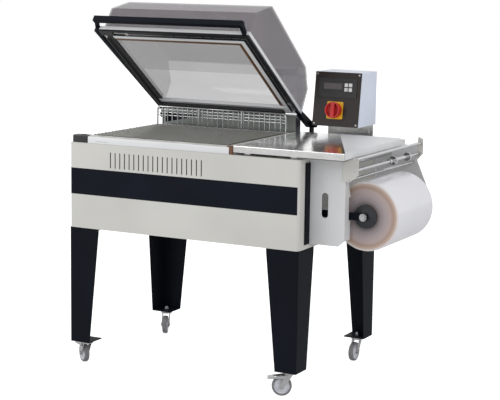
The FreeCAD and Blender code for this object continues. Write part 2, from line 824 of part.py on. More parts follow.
def fan_wheel():
    """The air fan: a back disc with curved blades and a hub on its own shaft."""
    base = tub_floor + tub_sheet + fan_floor_gap
    disc = Part.makeCylinder(fan_radius, tub_sheet, V(fan_x, fan_y, base))
    hub = Part.makeCylinder(fan_hub_radius, fan_height, V(fan_x, fan_y, base))
    shaft_low = tub_floor - motor_gap - motor_bore_depth + running_gap
    shaft = Part.makeCylinder(fan_shaft_radius, base - shaft_low, V(fan_x, fan_y, shaft_low))
    blades = []
    for n in range(fan_blades):
        start = V(fan_x + fan_hub_radius - 2, fan_y, base)
        middle = V(fan_x + fan_radius * 0.6, fan_y + fan_blade_sweep, base)
        end = V(fan_x + fan_radius - 2, fan_y, base)
        inner_edge = Part.Arc(start, middle, end).toShape()
        shift = V(0, -tub_sheet, 0)
        outer_edge = Part.Arc(end + shift, middle + shift, start + shift).toShape()
        ends = [Part.makeLine(end, end + shift), Part.makeLine(start + shift, start)]
        blade = Part.Face(Part.Wire([inner_edge, ends[0], outer_edge, ends[1]])).extrude(V(0, 0, fan_height))
        blade.rotate(V(fan_x, fan_y, 0), Z_AXIS, 360.0 * n / fan_blades)
        blades.append(blade)
    return disc.multiFuse([hub, shaft] + blades)


def blower_motor():
    """The motor bolted under the tub, with its shaft bore and cooling grooves."""
    high = tub_floor - motor_gap
    profile = [(fan_shaft_radius + running_clearance, 0), (motor_radius, 0), (motor_radius, -8),
               (motor_radius - 4, -11), (motor_radius - 4, -motor_height + 11),
               (motor_radius, -motor_height + 8), (motor_radius, -motor_height), (0, -motor_height),
               (0, -motor_bore_depth), (fan_shaft_radius + running_clearance, -motor_bore_depth)]
    case = turned(profile, V(fan_x, fan_y, high), Z_AXIS, X_AXIS)
    pillars = []
    for n in range(3):
        angle = math.radians(30 + 120 * n)
        place = V(fan_x + (motor_radius - 8) * math.cos(angle), fan_y + (motor_radius - 8) * math.sin(angle), high)
        pillars.append(Part.makeCylinder(motor_pillar_radius, motor_gap, place))
    return case.multiFuse(pillars)


# ---------------------------------------------------------------- duct and guard
def air_duct():
    """The sheet box behind the chamber: round upper corners, and a slanted, barred outlet in its face."""
    x1, y1 = duct_left + duct_width, duct_front + duct_depth
    low, high = body_top, body_top + duct_height
    outer = block(duct_left, x1, duct_front, y1, low, high)
    top_edges = [e for e in outer.Edges if abs(e.CenterOfMass.z - high) < 1
                 and abs(e.CenterOfMass.x - (duct_left + x1) / 2) > duct_width / 2 - 1]
    outer = outer.makeFillet(duct_corner, top_edges)
    inner = block(duct_left + duct_sheet, x1 - duct_sheet, duct_front + duct_sheet, y1 - duct_sheet,
                  low - 1, high - duct_sheet - duct_corner / 2)
    mouth = sheet_xz([(duct_left + outlet_inset, low + outlet_low), (duct_left + outlet_inset, low + outlet_top),
                      (duct_left + outlet_inset + outlet_length, low + outlet_top)],
                     duct_front - 1, duct_depth / 2)
    bars = [block(duct_left + outlet_inset + outlet_bar_pitch * n, duct_left + outlet_inset
                  + outlet_bar_pitch * n + outlet_bar, duct_front, duct_front + duct_sheet,
                  low + outlet_low - 1, low + outlet_top + 1)
            for n in range(1, int(outlet_length / outlet_bar_pitch) + 1)]
    body = outer.cut(inner).cut(mouth)
    return fused([body] + [bar.common(outer) for bar in bars])


def wire_guard():
    """A welded wire guard across the chamber's rear: a bent border, rails, uprights and two posts."""
    x0, x1, y = guard_left, guard_right, guard_y
    low, high = ledge_top, ledge_top + guard_height
    bend = guard_bend
    border = [Part.makeCylinder(guard_post, high - bend - low, V(x, y, low)) for x in (x0, x1)]
    border.append(Part.makeCylinder(guard_post, x1 - x0 - 2 * bend, V(x0 + bend, y, high), X_AXIS))
    for x, way in ((x0, 1), (x1, -1)):
        section = Part.Face(Part.Wire([Part.makeCircle(guard_post, V(x, y, high - bend), Z_AXIS)]))
        border.append(section.revolve(V(x + way * bend, y, high - bend), Y_AXIS * way, 90))
    rails = [Part.makeCylinder(guard_wire, x1 - x0, V(x0, y + 2 * guard_wire, high - guard_rail_step * n), X_AXIS)
             for n in range(1, 4)]
    count = int((x1 - x0) / guard_pitch)
    step = (x1 - x0) / count
    uprights = [Part.makeCylinder(guard_wire, high - low, V(x0 + n * step, y, low)) for n in range(1, count)]
    posts = [Part.makeCylinder(guard_post, high - low, V(x0 + (x1 - x0) * share, y - guard_post, low))
             for share in (1 / 3, 2 / 3)]
    return group(border + rails + uprights + posts)


# ---------------------------------------------------------------- hood
def opened(shape):
    """Swing a piece of the shut hood up to where the hood rests open."""
    shape.rotate(V(0, hinge_y, hinge_z), X_AXIS, -open_angle)
    return shape


def hood_cover():
    """The folded clear cover: low front wall, sloped front, flat top, and a sloped rear."""
    edge = [(hood_front, cover_edge), (hood_front, cover_edge + cover_front_wall),
            (hood_front + cover_front_slope, cover_edge + cover_peak),
            (hood_rear - cover_rear_slope, cover_edge + cover_rear_top),
            (hood_rear - cover_rear_lean, cover_edge + cover_rear_wall), (hood_rear, cover_edge)]
    solid = sheet_yz(edge, hood_left, chamber_width)
    below = [face for face in solid.Faces if face.CenterOfMass.z < cover_edge + 1]
    return opened(solid.makeThickness(below, -cover_sheet, 0.001))


def hood_frame():
    """The welded seal frame under the cover, with room at its rear for the wire guard."""
    low, high = cover_edge - frame_plate, cover_edge
    outer = block(frame_left, hood_right, hood_front, hood_rear, low, high)
    window = block(frame_left + left_bar, hood_right - front_bar, hood_front + front_bar,
                   hood_rear - rear_bar, low - 1, high + 1)
    window = window.makeFillet(window_radius, upright_edges(window, [
        (frame_left + left_bar, hood_front + front_bar)]))
    relief = block(guard_left - guard_side_play, guard_right + guard_side_play, strip_end,
                   hood_rear - rear_bar, low - 1, high + 1)
    return opened(outer.cut(window).cut(relief))


def holder_ends():
    """Where the seal blade stops: along the front bar, and along the right bar."""
    return frame_left + tensioner_length, hood_rear - rear_tensioner_length


def blade_holder():
    """The L-shaped channel that carries the seal blade, with a pocket at each end for its clamp."""
    low, high = frame_bottom + blade_proud, cover_edge - frame_plate
    middle_y = hood_front + rim_bar / 2
    middle_x = hood_right - rim_bar / 2
    end_x, end_y = holder_ends()
    rear = hood_rear - lap_length
    front = block(frame_left, hood_right, hood_front, hood_front + holder_width, low, high)
    side = block(hood_right - holder_width, hood_right, hood_front, rear, low, high)
    half = pocket_width / 2
    pockets = [block(end_x - tensioner_pocket, end_x, middle_y - half, middle_y + half, low - 1, high + 1),
               block(middle_x - half, middle_x + half, end_y, rear + 1, low - 1, high + 1)]
    return opened(fused([front, side]).cut(group(pockets)).cut(blade_groove_solid()))


def blade_path(width, low, high, start, end):
    """An L-shaped strip along the middle of the holder."""
    y = hood_front + rim_bar / 2
    x = hood_right - rim_bar / 2
    front = block(start, x + width / 2, y - width / 2, y + width / 2, low, high)
    side = block(x - width / 2, x + width / 2, y - width / 2, end, low, high)
    return fused([front, side])


def blade_groove_solid():
    """The groove in the holder that takes the blade."""
    end_x, end_y = holder_ends()
    return blade_path(blade_groove, frame_bottom - 1, frame_bottom + blade_height + fit_gap,
                      end_x - 1, end_y + 1)


def seal_blade():
    """The heated blade that seals and cuts the film, bent round the front right corner."""
    end_x, end_y = holder_ends()
    return opened(blade_path(blade_thickness, frame_bottom, frame_bottom + blade_height,
                             end_x + fit_gap, end_y - fit_gap))


def blade_tensioners():
    """The spring-loaded clamps that hold both ends of the blade taut."""
    low, high = frame_bottom + blade_proud, cover_edge - frame_plate
    middle_y = hood_front + rim_bar / 2
    middle_x = hood_right - rim_bar / 2
    block_side = tensioner_block
    shapes = []
    end_x, end_y = holder_ends()
    for base, along in ((V(end_x - fit_gap, middle_y, 0), -X_AXIS), (V(middle_x, end_y + fit_gap, 0), Y_AXIS)):
        across = along.cross(Z_AXIS)
        corner = [base + across * block_side / 2, base + across * block_side / 2 + along * block_side,
                  base - across * block_side / 2 + along * block_side, base - across * block_side / 2]
        clamp = outline([p + V(0, 0, low) for p in corner], V(0, 0, high - low))
        rod = Part.makeCylinder(tensioner_rod, tensioner_reach, base + V(0, 0, (low + high) / 2), along)
        coils = [Part.makeCylinder(tensioner_coil, tensioner_coil_width, base + along
                                   * (block_side + tensioner_coil_pitch * (n + 0.3)) + V(0, 0, (low + high) / 2),
                                   along) for n in range(tensioner_coils)]
        shapes.append(fused([clamp, rod] + coils))
    return opened(group(shapes))


def press_strips():
    """The strips inside the blade that hold the film, along the front and the right."""
    low, high = frame_bottom + press_strip_rise, cover_edge - frame_plate
    inner = press_strip_width
    front = block(frame_left + left_bar, hood_right - holder_width, hood_front + holder_width,
                  hood_front + holder_width + inner, low, high)
    side = block(hood_right - holder_width - inner, hood_right - holder_width,
                 hood_front + holder_width, strip_end, low, high)
    return opened(fused([front, side]))


def cover_strips():
    """The coated edge strips on the inner side of the press strips."""
    low, high = cover_edge - frame_plate - guard_strip_height, cover_edge - frame_plate
    inset = holder_width + press_strip_width
    width = front_bar - inset
    front = block(frame_left + left_bar, hood_right - inset, hood_front + inset, hood_front + inset + width,
                  low, high)
    side = block(hood_right - inset - width, hood_right - inset, hood_front + inset, strip_end, low, high)
    return opened(fused([front, side]))


def hood_gasket():
    """The dark foam strip under the left and rear bars, with the lip that closes on the rim."""
    low, high = rim_top + shut_gap, cover_edge - frame_plate
    inner = frame_left + left_bar
    lip_left = rim_left + gasket_inset
    left = block(inner - gasket_width, inner, hood_front + holder_width + fit_gap, strip_end,
                 high - gasket_height, high)
    lip_front = magnet_cover_setback + magnet_cover_depth + rim_notch_gap
    lip = block(lip_left, lip_left + lip_width, lip_front, hood_rear - gasket_inset, low, high)
    rear = block(lip_left, hood_right - front_bar - fit_gap, hood_rear - gasket_inset - gasket_width,
                 hood_rear - gasket_inset, low, high)
    return opened(fused([left, lip, rear]))


def handle():
    """The handle: a square grip across the front, a short right arm, and a left arm to the hinge."""
    middle = hood_front - handle_reach
    low = cover_edge - handle_drop
    left = frame_left - grip_left_inset
    right = hood_right - handle_right_inset
    grip = block(left, right, middle - handle_depth / 2, middle + handle_depth / 2, low, low + handle_bar)
    rounded = [e for e in grip.Edges if abs(e.tangentAt(e.FirstParameter).x) > 0.99]
    grip = grip.makeFillet(handle_edge_radius, rounded)
    rear_of_grip = middle + handle_depth / 2 - handle_edge_radius
    arm_low, arm_high = low + handle_edge_radius, low + handle_bar - handle_edge_radius
    right_arm = sheet_yz([(rear_of_grip, arm_low), (rear_of_grip, arm_high), (hood_front, cover_edge - arm_step),
                          (hood_front, frame_bottom + arm_step)], right - handle_arm, handle_arm)
    elbow_end = hood_front + elbow_length
    elbow = sheet_xy([(left, rear_of_grip), (left + arm_width, rear_of_grip), (frame_left, hood_front - arm_step),
                      (frame_left, elbow_end), (left_arm_left, elbow_end), (left_arm_left, hood_front)],
                     arm_low, cover_edge - arm_low)
    waist = hinge_y - arm_waist
    left_arm = sheet_yz([(hood_front, frame_bottom), (hood_front, cover_edge), (hinge_y, cover_edge + hinge_eye),
                         (hinge_y, cover_edge - hinge_eye), (waist, cover_edge - arm_waist_height)],
                        left_arm_left, arm_width)
    eye = Part.makeCylinder(hinge_eye, arm_width, V(left_arm_left, hinge_y, hinge_z), X_AXIS)
    bore = Part.makeCylinder(pin_radius + running_clearance, 2 * arm_width,
                             V(left_arm_left - arm_width / 2, hinge_y, hinge_z), X_AXIS)
    return opened(fused([grip, right_arm, elbow, left_arm, eye]).cut(bore))


def hinge_arm():
    """The right hinge arm: a flat bar lapped on the frame's rear corner, with an eye at its end."""
    start = hood_rear - lap_length
    bar = sheet_yz([(hood_rear, cover_edge - arm_height), (hood_rear, cover_edge),
                    (hinge_y, cover_edge + hinge_eye), (hinge_y, cover_edge - hinge_eye)],
                   right_arm_left, arm_width)
    lap = block(right_arm_left, hood_right, start, hood_rear, cover_edge - frame_plate - arm_sheet,
                cover_edge - frame_plate)
    eye = Part.makeCylinder(hinge_eye, arm_width, V(right_arm_left, hinge_y, hinge_z), X_AXIS)
    bore = Part.makeCylinder(pin_radius + running_clearance, 2 * arm_width,
                             V(right_arm_left - arm_width / 2, hinge_y, hinge_z), X_AXIS)
    return opened(fused([bar, lap, eye]).cut(bore))


def hinge_bracket(inner_x, way):
    """One hinge bracket: a foot on the deck, an upright plate beside the arm, and the pin through it."""
    face = inner_x + way * side_play
    far = face + way * bracket_plate
    low_x, high_x = min(face, far), max(face, far)
    half = bracket_depth / 2
    plate = sheet_yz([(hinge_y - half, body_top), (hinge_y + half - 6, body_top), (hinge_y + boss_radius, hinge_z),
                      (hinge_y - boss_radius, hinge_z)], low_x, bracket_plate)
    boss = Part.makeCylinder(boss_radius, bracket_boss, V(face, hinge_y, hinge_z), X_AXIS * way)
    foot_far = face + way * bracket_boss
    foot = block(min(face, foot_far), max(face, foot_far), hinge_y - half, hinge_y + half - 6, body_top,
                 body_top + bracket_foot)
    hole = Part.makeCylinder(pin_radius, 2 * bracket_boss, V(face - way, hinge_y, hinge_z), X_AXIS * way)
    pin_start = inner_x - way * (arm_width + side_play)
    pin = Part.makeCylinder(pin_radius, arm_width + 2 * side_play + bracket_boss,
                            V(pin_start, hinge_y, hinge_z), X_AXIS * way)
    cap = Part.makeCylinder(pin_radius + 3, pin_cap, V(pin_start, hinge_y, hinge_z), X_AXIS * -way)
    return [fused([plate, boss, foot]).cut(hole), pin.fuse(cap)]


# ---------------------------------------------------------------- hood magnet
def magnet_cover():
    """The moulded cover at the deck's front corner, with the holding magnet proud of its top."""
    high = frame_bottom - shut_gap
    low_y = magnet_cover_setback
    cover = block(fit_gap, magnet_cover_width, low_y, low_y + magnet_cover_depth, body_top,
                  high - magnet_proud)
    rounded = upright_edges(cover, [(x, y) for x in (fit_gap, magnet_cover_width)
                                    for y in (low_y, low_y + magnet_cover_depth)])
    cover = cover.makeFillet(magnet_cover_round, rounded)
    top_edges = [e for e in cover.Edges if e.BoundBox.ZMin > high - magnet_proud - 0.01]
    cover = cover.makeFillet(magnet_edge_round, top_edges)
    magnet_x = left_arm_left + arm_width / 2
    magnet = Part.makeCylinder(magnet_radius, 3 * magnet_proud,
                               V(magnet_x, low_y + magnet_cover_depth / 2, high - 3 * magnet_proud))
    return group([cover.cut(magnet), magnet])


# ---------------------------------------------------------------- packing table
def packing_table():
    """The table for the folded film: a sheet with flanges turned down, on two standoff rails."""
    outer = block(table_left, table_right, table_front, table_rear, table_top - table_flange, table_top)
    front_edges = [e for e in outer.Edges if abs(e.CenterOfMass.z - table_top) < 0.01]
    outer = outer.makeFillet(table_bend, front_edges)
    inner = block(table_left + table_sheet, table_right - table_sheet, table_front + table_sheet,
                  table_rear - table_sheet, table_top - 2 * table_flange, table_top - table_sheet)
    rails = [block(x, x + rail_width, table_front + rail_inset, table_rear - rail_inset, body_top,
                   table_top - table_sheet) for x in (table_left + rail_inset, body_width - rail_inset - rail_width)]
    return fused([outer.cut(inner)] + rails)


def film_spreader():
    """The triangular film spreader: a bent sheet on the table, its edge turned down past the end."""
    rear = table_rear - spreader_margin
    front = table_front + spreader_margin
    right = table_right + spreader_sheet + fit_gap
    flat = sheet_xy([(right, front), (right, rear - spreader_corner), (right - spreader_corner, rear),
                     (right - spreader_base, rear)], table_top, spreader_sheet)
    skirt = block(right - spreader_sheet, right, front, rear - spreader_corner, table_top - spreader_skirt,
                  table_top + spreader_sheet)
    return fused([flat, skirt])


# ---------------------------------------------------------------- film carriage
def carriage_plate_front():
    """The front plate of the film carriage: chamfered, slotted, with a notched flange to the rear."""
    y = carriage_front
    high = body_top - plate_top_drop
    face = sheet_xz([(body_width, plate_low), (plate_right - plate_chamfer_x, plate_low),
                     (plate_right, plate_low + plate_chamfer_z), (plate_right, high), (body_width, high)],
                    y, plate_sheet)
    slot_x = body_width + slot_from_body
    slot = slot_cutter(slot_x, body_bottom + slot_bottom, body_bottom + slot_bottom + slot_height,
                       slot_width, y - 1, y + 2 * plate_sheet)
    notch_low = body_bottom + notch_bottom
    flange = sheet_yz([(y, plate_low + plate_chamfer_z), (y + flange_depth, plate_low + plate_chamfer_z),
                       (y + flange_depth, notch_low), (y + flange_depth - flange_notch, notch_low),
                       (y + flange_depth - flange_notch, notch_low + notch_height),
                       (y + flange_depth, notch_low + notch_height), (y + plate_sheet, high - flange_notch),
                       (y, high)], plate_right - plate_sheet, plate_sheet)
    lug = block(body_width, body_width + lug_sheet, y, y + lug_depth, plate_low, high)
    return fused([face.cut(slot), flange, lug])


def carriage_plate_rear():
    """The rear plate of the carriage: it narrows from the rollers down to the arm of the reel."""
    high = body_top - plate_top_drop
    tip = reel_x + hook_width / 2
    plate = sheet_xz([(body_width, plate_low), (plate_right - plate_chamfer_x, plate_low),
                      (reel_x - hook_width / 2, reel_z - hook_depth), (tip, reel_z - hook_depth),
                      (tip, reel_z + hook_above), (body_width + rear_plate_reach, high - rear_plate_slope),
                      (body_width + rear_plate_reach, high), (body_width, high)],
                     carriage_rear - plate_sheet, plate_sheet)
    plate = plate.cut(shaft_slot(carriage_rear - 2 * plate_sheet, 3 * plate_sheet))
    plate = plate.cut(roller_seats(carriage_rear - 2 * plate_sheet))
    lug = block(body_width, body_width + lug_sheet, carriage_rear - lug_depth, carriage_rear, plate_low, high)
    return fused([plate, lug])


def carriage_guide():
    """The dark rail on the cabinet's side, on which the front plate is set and clamped."""
    return block(body_width, body_width + guide_thickness, carriage_front - guide_depth,
                 carriage_front - fit_gap, plate_low, plate_low + guide_length)


def shaft_slot(y, thickness):
    """The open-topped seat that the reel shaft drops into."""
    radius = shaft_radius + running_clearance
    seat = Part.makeCylinder(radius, thickness, V(reel_x, y, reel_z), Y_AXIS)
    return seat.fuse(block(reel_x - radius, reel_x + radius, y, y + thickness, reel_z, reel_z + 4 * shaft_radius))


def reel_arm():
    """The front arm: a flat bar out from the cabinet to the open seat of the reel shaft."""
    low = reel_z - reel_arm_height / 2
    bar = block(body_width, reel_x + reel_arm_height / 2, reel_arm_front, reel_arm_front + reel_arm_thickness,
                low, low + reel_arm_height)
    round_edges = [e for e in bar.Edges if abs(e.tangentAt(e.FirstParameter).y) > 0.99
                   and e.CenterOfMass.x > reel_x]
    bar = bar.makeFillet(reel_arm_height * 0.3, round_edges)
    foot = block(body_width, body_width + reel_arm_thickness, reel_arm_front - reel_arm_thickness,
                 reel_arm_front + 2 * reel_arm_thickness, low - reel_arm_thickness,
                 low + reel_arm_height + reel_arm_thickness)
    return fused([bar, foot]).cut(shaft_slot(reel_arm_front - 1, reel_arm_thickness + 2))


def roller_bracket(front):
    """The sloped sheet bracket that carries one end of the film rollers and tie bars."""
    base_x = body_width + bracket_reach
    height = table_top
    lift = 0.0 if front else rear_bracket_lift
    slope = math.tan(math.radians(bracket_slope))
    outer_x = base_x + bracket_length
    step_x = table_right + spreader_sheet + 3 * fit_gap
    under_table = height - table_flange - fit_gap
    points = [(base_x, height - bracket_low_corner), (base_x, height - bracket_high_corner),
              (step_x, under_table), (step_x, under_table + bracket_step),
              (outer_x - bracket_shoulder, height + slope * bracket_rise + lift),
              (outer_x, height + slope * bracket_rise - 8 + lift),
              (outer_x, height - bracket_depth_outer + lift), (base_x + bracket_toe, height - bracket_low_corner - 6)]
    y = carriage_front - bracket_sheet if front else carriage_rear
    plate = sheet_xz(points, y, bracket_sheet)
    return plate.cut(roller_seats(y - bracket_sheet))


def roller_seats(y):
    """The holes for the ends of the rollers, through the sheets from y on."""
    return group([Part.makeCylinder(journal_radius + running_clearance, 4 * bracket_sheet,
                                    V(body_width + across, y, table_top - under), Y_AXIS)
                  for across, under, radius in rollers.values()])


def tie_bars():
    """The fixed bars between the carriage's two sides, and the slot bolt's spacer tube."""
    start, end = carriage_front + plate_sheet, carriage_rear - plate_sheet
    bars = [Part.makeCylinder(tie_bar_radius, end - start, V(body_width + across, start, body_top - under), Y_AXIS)
            for across, under in tie_bar_places]
    return bars


def film_roller(name, rings=()):
    """A turned roller with a thinner journal at each end; rings are (place, radius, width) along it."""
    across, under, radius = rollers[name]
    middle = V(body_width + across, 0, table_top - under)
    low, high = carriage_front - bracket_sheet, carriage_rear + bracket_sheet
    start, end = carriage_front + roller_end_gap, carriage_rear - plate_sheet - roller_end_gap
    profile = [(0, low), (journal_radius, low), (journal_radius, start), (radius, start)]
    for place, ring_radius, width in sorted(rings):
        profile += [(radius, place), (ring_radius, place), (ring_radius, place + width), (radius, place + width)]
    profile += [(radius, end), (journal_radius, end), (journal_radius, high), (0, high)]
    return turned(profile, middle, Y_AXIS, X_AXIS)


def pin_roller():
    """The roller with two spiked wheels, which prick small holes in the film as it passes."""
    across, under, radius = rollers["pin_roller"]
    x, z = body_width + across, table_top - under
    rings = [(y, pin_wheel_radius, pin_wheel_width) for y in pin_wheel_places]
    rings.append((guide_ring_place, guide_ring_radius, pin_wheel_width))
    pins = []
    for y in pin_wheel_places:
        for n in range(pin_count):
            angle = math.radians(360.0 * (n + 0.5) / pin_count)
            way = V(math.cos(angle), 0, math.sin(angle))
            pins.append(Part.makeCylinder(pin_thickness / 2, pin_length + 1,
                                          V(x, y + pin_wheel_width / 2, z) + way * (pin_wheel_radius - 1), way))
    return film_roller("pin_roller", rings).multiFuse(pins)


# ---------------------------------------------------------------- film reel
def reel_shaft():
    """The round bar that carries the film, resting in its two open seats, with end collars."""
    start = reel_arm_front - shaft_overhang
    end = carriage_rear + shaft_overhang
    bar = Part.makeCylinder(shaft_radius, end - start, V(reel_x, start, reel_z), Y_AXIS)
    collars = [Part.makeCylinder(shaft_radius + collar_step, collar_width, V(reel_x, y, reel_z), Y_AXIS)
               for y in (reel_arm_front - collar_width - collar_gap, carriage_rear + collar_gap)]
    return bar.multiFuse(collars)


def reel_core():
    """The cardboard tube that the film is wound on."""
    start = roll_front - core_proud
    length = roll_length + 2 * core_proud
    tube = Part.makeCylinder(core_outer, length, V(reel_x, start, reel_z), Y_AXIS)
    return tube.cut(Part.makeCylinder(core_outer - core_wall, length + 2, V(reel_x, start - 1, reel_z), Y_AXIS))


def film_roll():
    """The wound centre-folded film, with a slightly rounded edge at both ends."""
    profile = [(core_outer, 0), (roll_radius - roll_edge, 0), (roll_radius, roll_edge),
               (roll_radius, roll_length - roll_edge), (roll_radius - roll_edge, roll_length),
               (core_outer, roll_length)]
    return turned(profile, V(reel_x, roll_front, reel_z), Y_AXIS, X_AXIS)


def reel_cones():
    """The two stepped plugs that centre the core on the shaft, each with a clamping screw."""
    inner = core_outer - core_wall - cone_play
    profile = [(shaft_radius, -cone_boss), (cone_boss_radius, -cone_boss), (cone_boss_radius, -2),
               (cone_flange, 0), (cone_flange, 3), (inner, 3), (inner - 4, cone_depth), (shaft_radius, cone_depth)]
    front = turned(profile, V(reel_x, roll_front - core_proud - 3, reel_z), Y_AXIS, X_AXIS)
    rear = turned(profile, V(reel_x, roll_front + roll_length + core_proud + 3, reel_z), -Y_AXIS, X_AXIS)
    return [front, rear]


# ---------------------------------------------------------------- control box
def box_side():
    """The side outline of the control box: an upright rear, a sloped face and a level top."""
    low = body_top + box_above_body
    rear = body_depth - bracket_steel
    return [(rear - box_depth, low), (rear, low), (rear, low + box_height), (rear - box_top_depth, low + box_height)]


def face_frame():
    """The lower left corner of the box's face, the way up the face, and the way out of it."""
    (low_y, low_z), rear_low, rear_high, (high_y, high_z) = box_side()
    up = V(0, high_y - low_y, high_z - low_z).normalize()
    out = V(0, -up.z, up.y)
    return V(box_left, low_y, low_z), up, out


def face_length():
    """The length of the sloped face from its lower to its upper edge."""
    side = box_side()
    return math.hypot(side[3][0] - side[0][0], side[3][1] - side[0][1])


def on_face(left, from_top, width, height, start, thickness):
    """A plate on the sloped face: its place is measured from the face's upper left corner."""
    corner, up, out = face_frame()
    base = corner + up * (face_length() - from_top - height) + X_AXIS * left + out * start
    points = [base, base + X_AXIS * width, base + X_AXIS * width + up * height, base + up * height]
    return outline(points, out * thickness)


def face_disc(left, from_top, radius, start, thickness):
    """A disc on the sloped face, measured to its middle."""
    corner, up, out = face_frame()
    base = corner + up * (face_length() - from_top) + X_AXIS * left + out * start
    return Part.makeCylinder(radius, thickness, base, out)


def control_box():
    """The sheet box of the controls, open at its face, with a gland hole in its underside."""
    outer = sheet_yz(box_side(), box_left, box_width)
    upright = [e for e in outer.Edges if abs(e.CenterOfMass.x - box_left - box_width / 2) > box_width / 2 - 1]
    outer = outer.makeFillet(box_round, [e for e in upright if e.CenterOfMass.z > body_top + box_above_body + 1
                                         and e.CenterOfMass.y < body_depth - box_top_depth])
    corner, up, out = face_frame()
    (low_y, low_z), (rear, z1), (rear2, high_z), (high_y, z3) = box_side()
    inner = sheet_yz([(low_y - 20, low_z + box_sheet), (rear - box_sheet, low_z + box_sheet),
                      (rear - box_sheet, high_z - box_sheet), (low_y - 20, high_z - box_sheet)],
                     box_left + box_sheet, box_width - 2 * box_sheet)
    return outer.cut(inner)


def control_panel():
    """The front panel of the box, with openings for the display unit and the switch shaft."""
    plate = on_face(0, 0, box_width, face_length(), 0, panel_thickness)
    window = on_face(bezel_left + bezel_lip, bezel_from_top + bezel_lip, bezel_width - 2 * bezel_lip,
                     bezel_height - 2 * bezel_lip, -1, panel_thickness + 2)
    shaft = face_disc(switch_left + switch_size / 2, switch_from_top + switch_size / 2,
                      knob_shaft_radius + running_clearance, -1, panel_thickness + 2)
    return plate.cut(window).cut(shaft)


def key_place(n):
    """Left and upper edge of a key on the face: two rows of two."""
    return (bezel_left + keys_left + (n % 2) * key_pitch, bezel_from_top + keys_from_top + (n // 2) * key_pitch)


def display_unit():
    """The controller in the panel: a framed face with a display recess and four key openings."""
    face = on_face(bezel_left, bezel_from_top, bezel_width, bezel_height, panel_thickness, bezel_thickness)
    back = on_face(bezel_left + bezel_lip + fit_gap, bezel_from_top + bezel_lip + fit_gap,
                   bezel_width - 2 * bezel_lip - 2 * fit_gap, bezel_height - 2 * bezel_lip - 2 * fit_gap,
                   -controller_depth, controller_depth + panel_thickness)
    unit = fused([face, back])
    recess = on_face(bezel_left + display_left, bezel_from_top + display_from_top, display_width, display_height,
                     panel_thickness + bezel_thickness - 2 * display_recess, 3 * display_recess)
    wells = []
    for n in range(4):
        left, top = key_place(n)
        wells.append(on_face(left - key_play, top - key_play, key_size + 2 * key_play, key_size + 2 * key_play,
                             panel_thickness + bezel_thickness - key_well, key_well + 1))
    return unit.cut(group([recess] + wells))


def display_window():
    """The dark window set into the recess of the controller."""
    return on_face(bezel_left + display_left, bezel_from_top + display_from_top, display_width, display_height,
                   panel_thickness + bezel_thickness - 2 * display_recess, display_recess)


def key(n):
    """A key cap in its well, standing clear of the well's floor by its travel."""
    left, top = key_place(n)
    cap = on_face(left, top, key_size, key_size, panel_thickness + bezel_thickness - key_well
                  + key_travel + fit_gap, key_height)
    corner, up, out = face_frame()
    return cap.makeFillet(key_round, [e for e in cap.Edges if abs(e.tangentAt(e.FirstParameter).dot(out)) > 0.99])


def switch_plate():
    """The yellow square plate of the main switch, with a bore for its shaft."""
    plate = on_face(switch_left, switch_from_top, switch_size, switch_size, panel_thickness,
                    switch_plate_thickness)
    corner, up, out = face_frame()
    plate = plate.makeFillet(switch_round, [e for e in plate.Edges
                                            if abs(e.tangentAt(e.FirstParameter).dot(out)) > 0.99])
    return plate.cut(face_disc(switch_left + switch_size / 2, switch_from_top + switch_size / 2,
                               knob_shaft_radius + running_clearance, 0, 3 * switch_plate_thickness))


def switch_knob():
    """The red knob: a round cup with a grip bar between two finger pockets, and its shaft."""
    left, top = switch_left + switch_size / 2, switch_from_top + switch_size / 2
    base = panel_thickness + switch_plate_thickness + fit_gap
    cup = face_disc(left, top, knob_radius, base, knob_height)
    pocket = face_disc(left, top, knob_radius - knob_wall, base + knob_floor, knob_height)
    grip = on_face(left - knob_grip / 2, top - knob_radius, knob_grip, 2 * knob_radius, base, 2 * knob_height)
    shaft = face_disc(left, top, knob_shaft_radius, -knob_shaft_depth, knob_shaft_depth + base)
    return fused([cup.cut(pocket.cut(grip)), shaft])


def panel_screws():
    """The round-headed screws at the corners of the control panel."""
    places = [(x, t) for x in (screw_inset, box_width - screw_inset)
              for t in (screw_inset, face_length() - screw_inset)]
    return group([face_disc(x, t, screw_radius, panel_thickness, screw_height) for x, t in places])


def box_bracket():
    """The upright steel plate behind the cabinet's rear edge that carries the control box."""
    low = body_top - bracket_lap
    plate = block(box_left - bracket_margin, box_left + box_width - bracket_margin, body_depth,
                  body_depth + bracket_steel, low, body_top + box_above_body + box_height - bracket_top_gap)
    screws = [Part.makeCylinder(screw_radius, screw_height, V(x, body_depth, body_top + bracket_screw_up), -Y_AXIS)
              for x in (box_left + bracket_screw_inset, box_left + box_width - bracket_screw_inset)]
    return fused([plate] + screws)


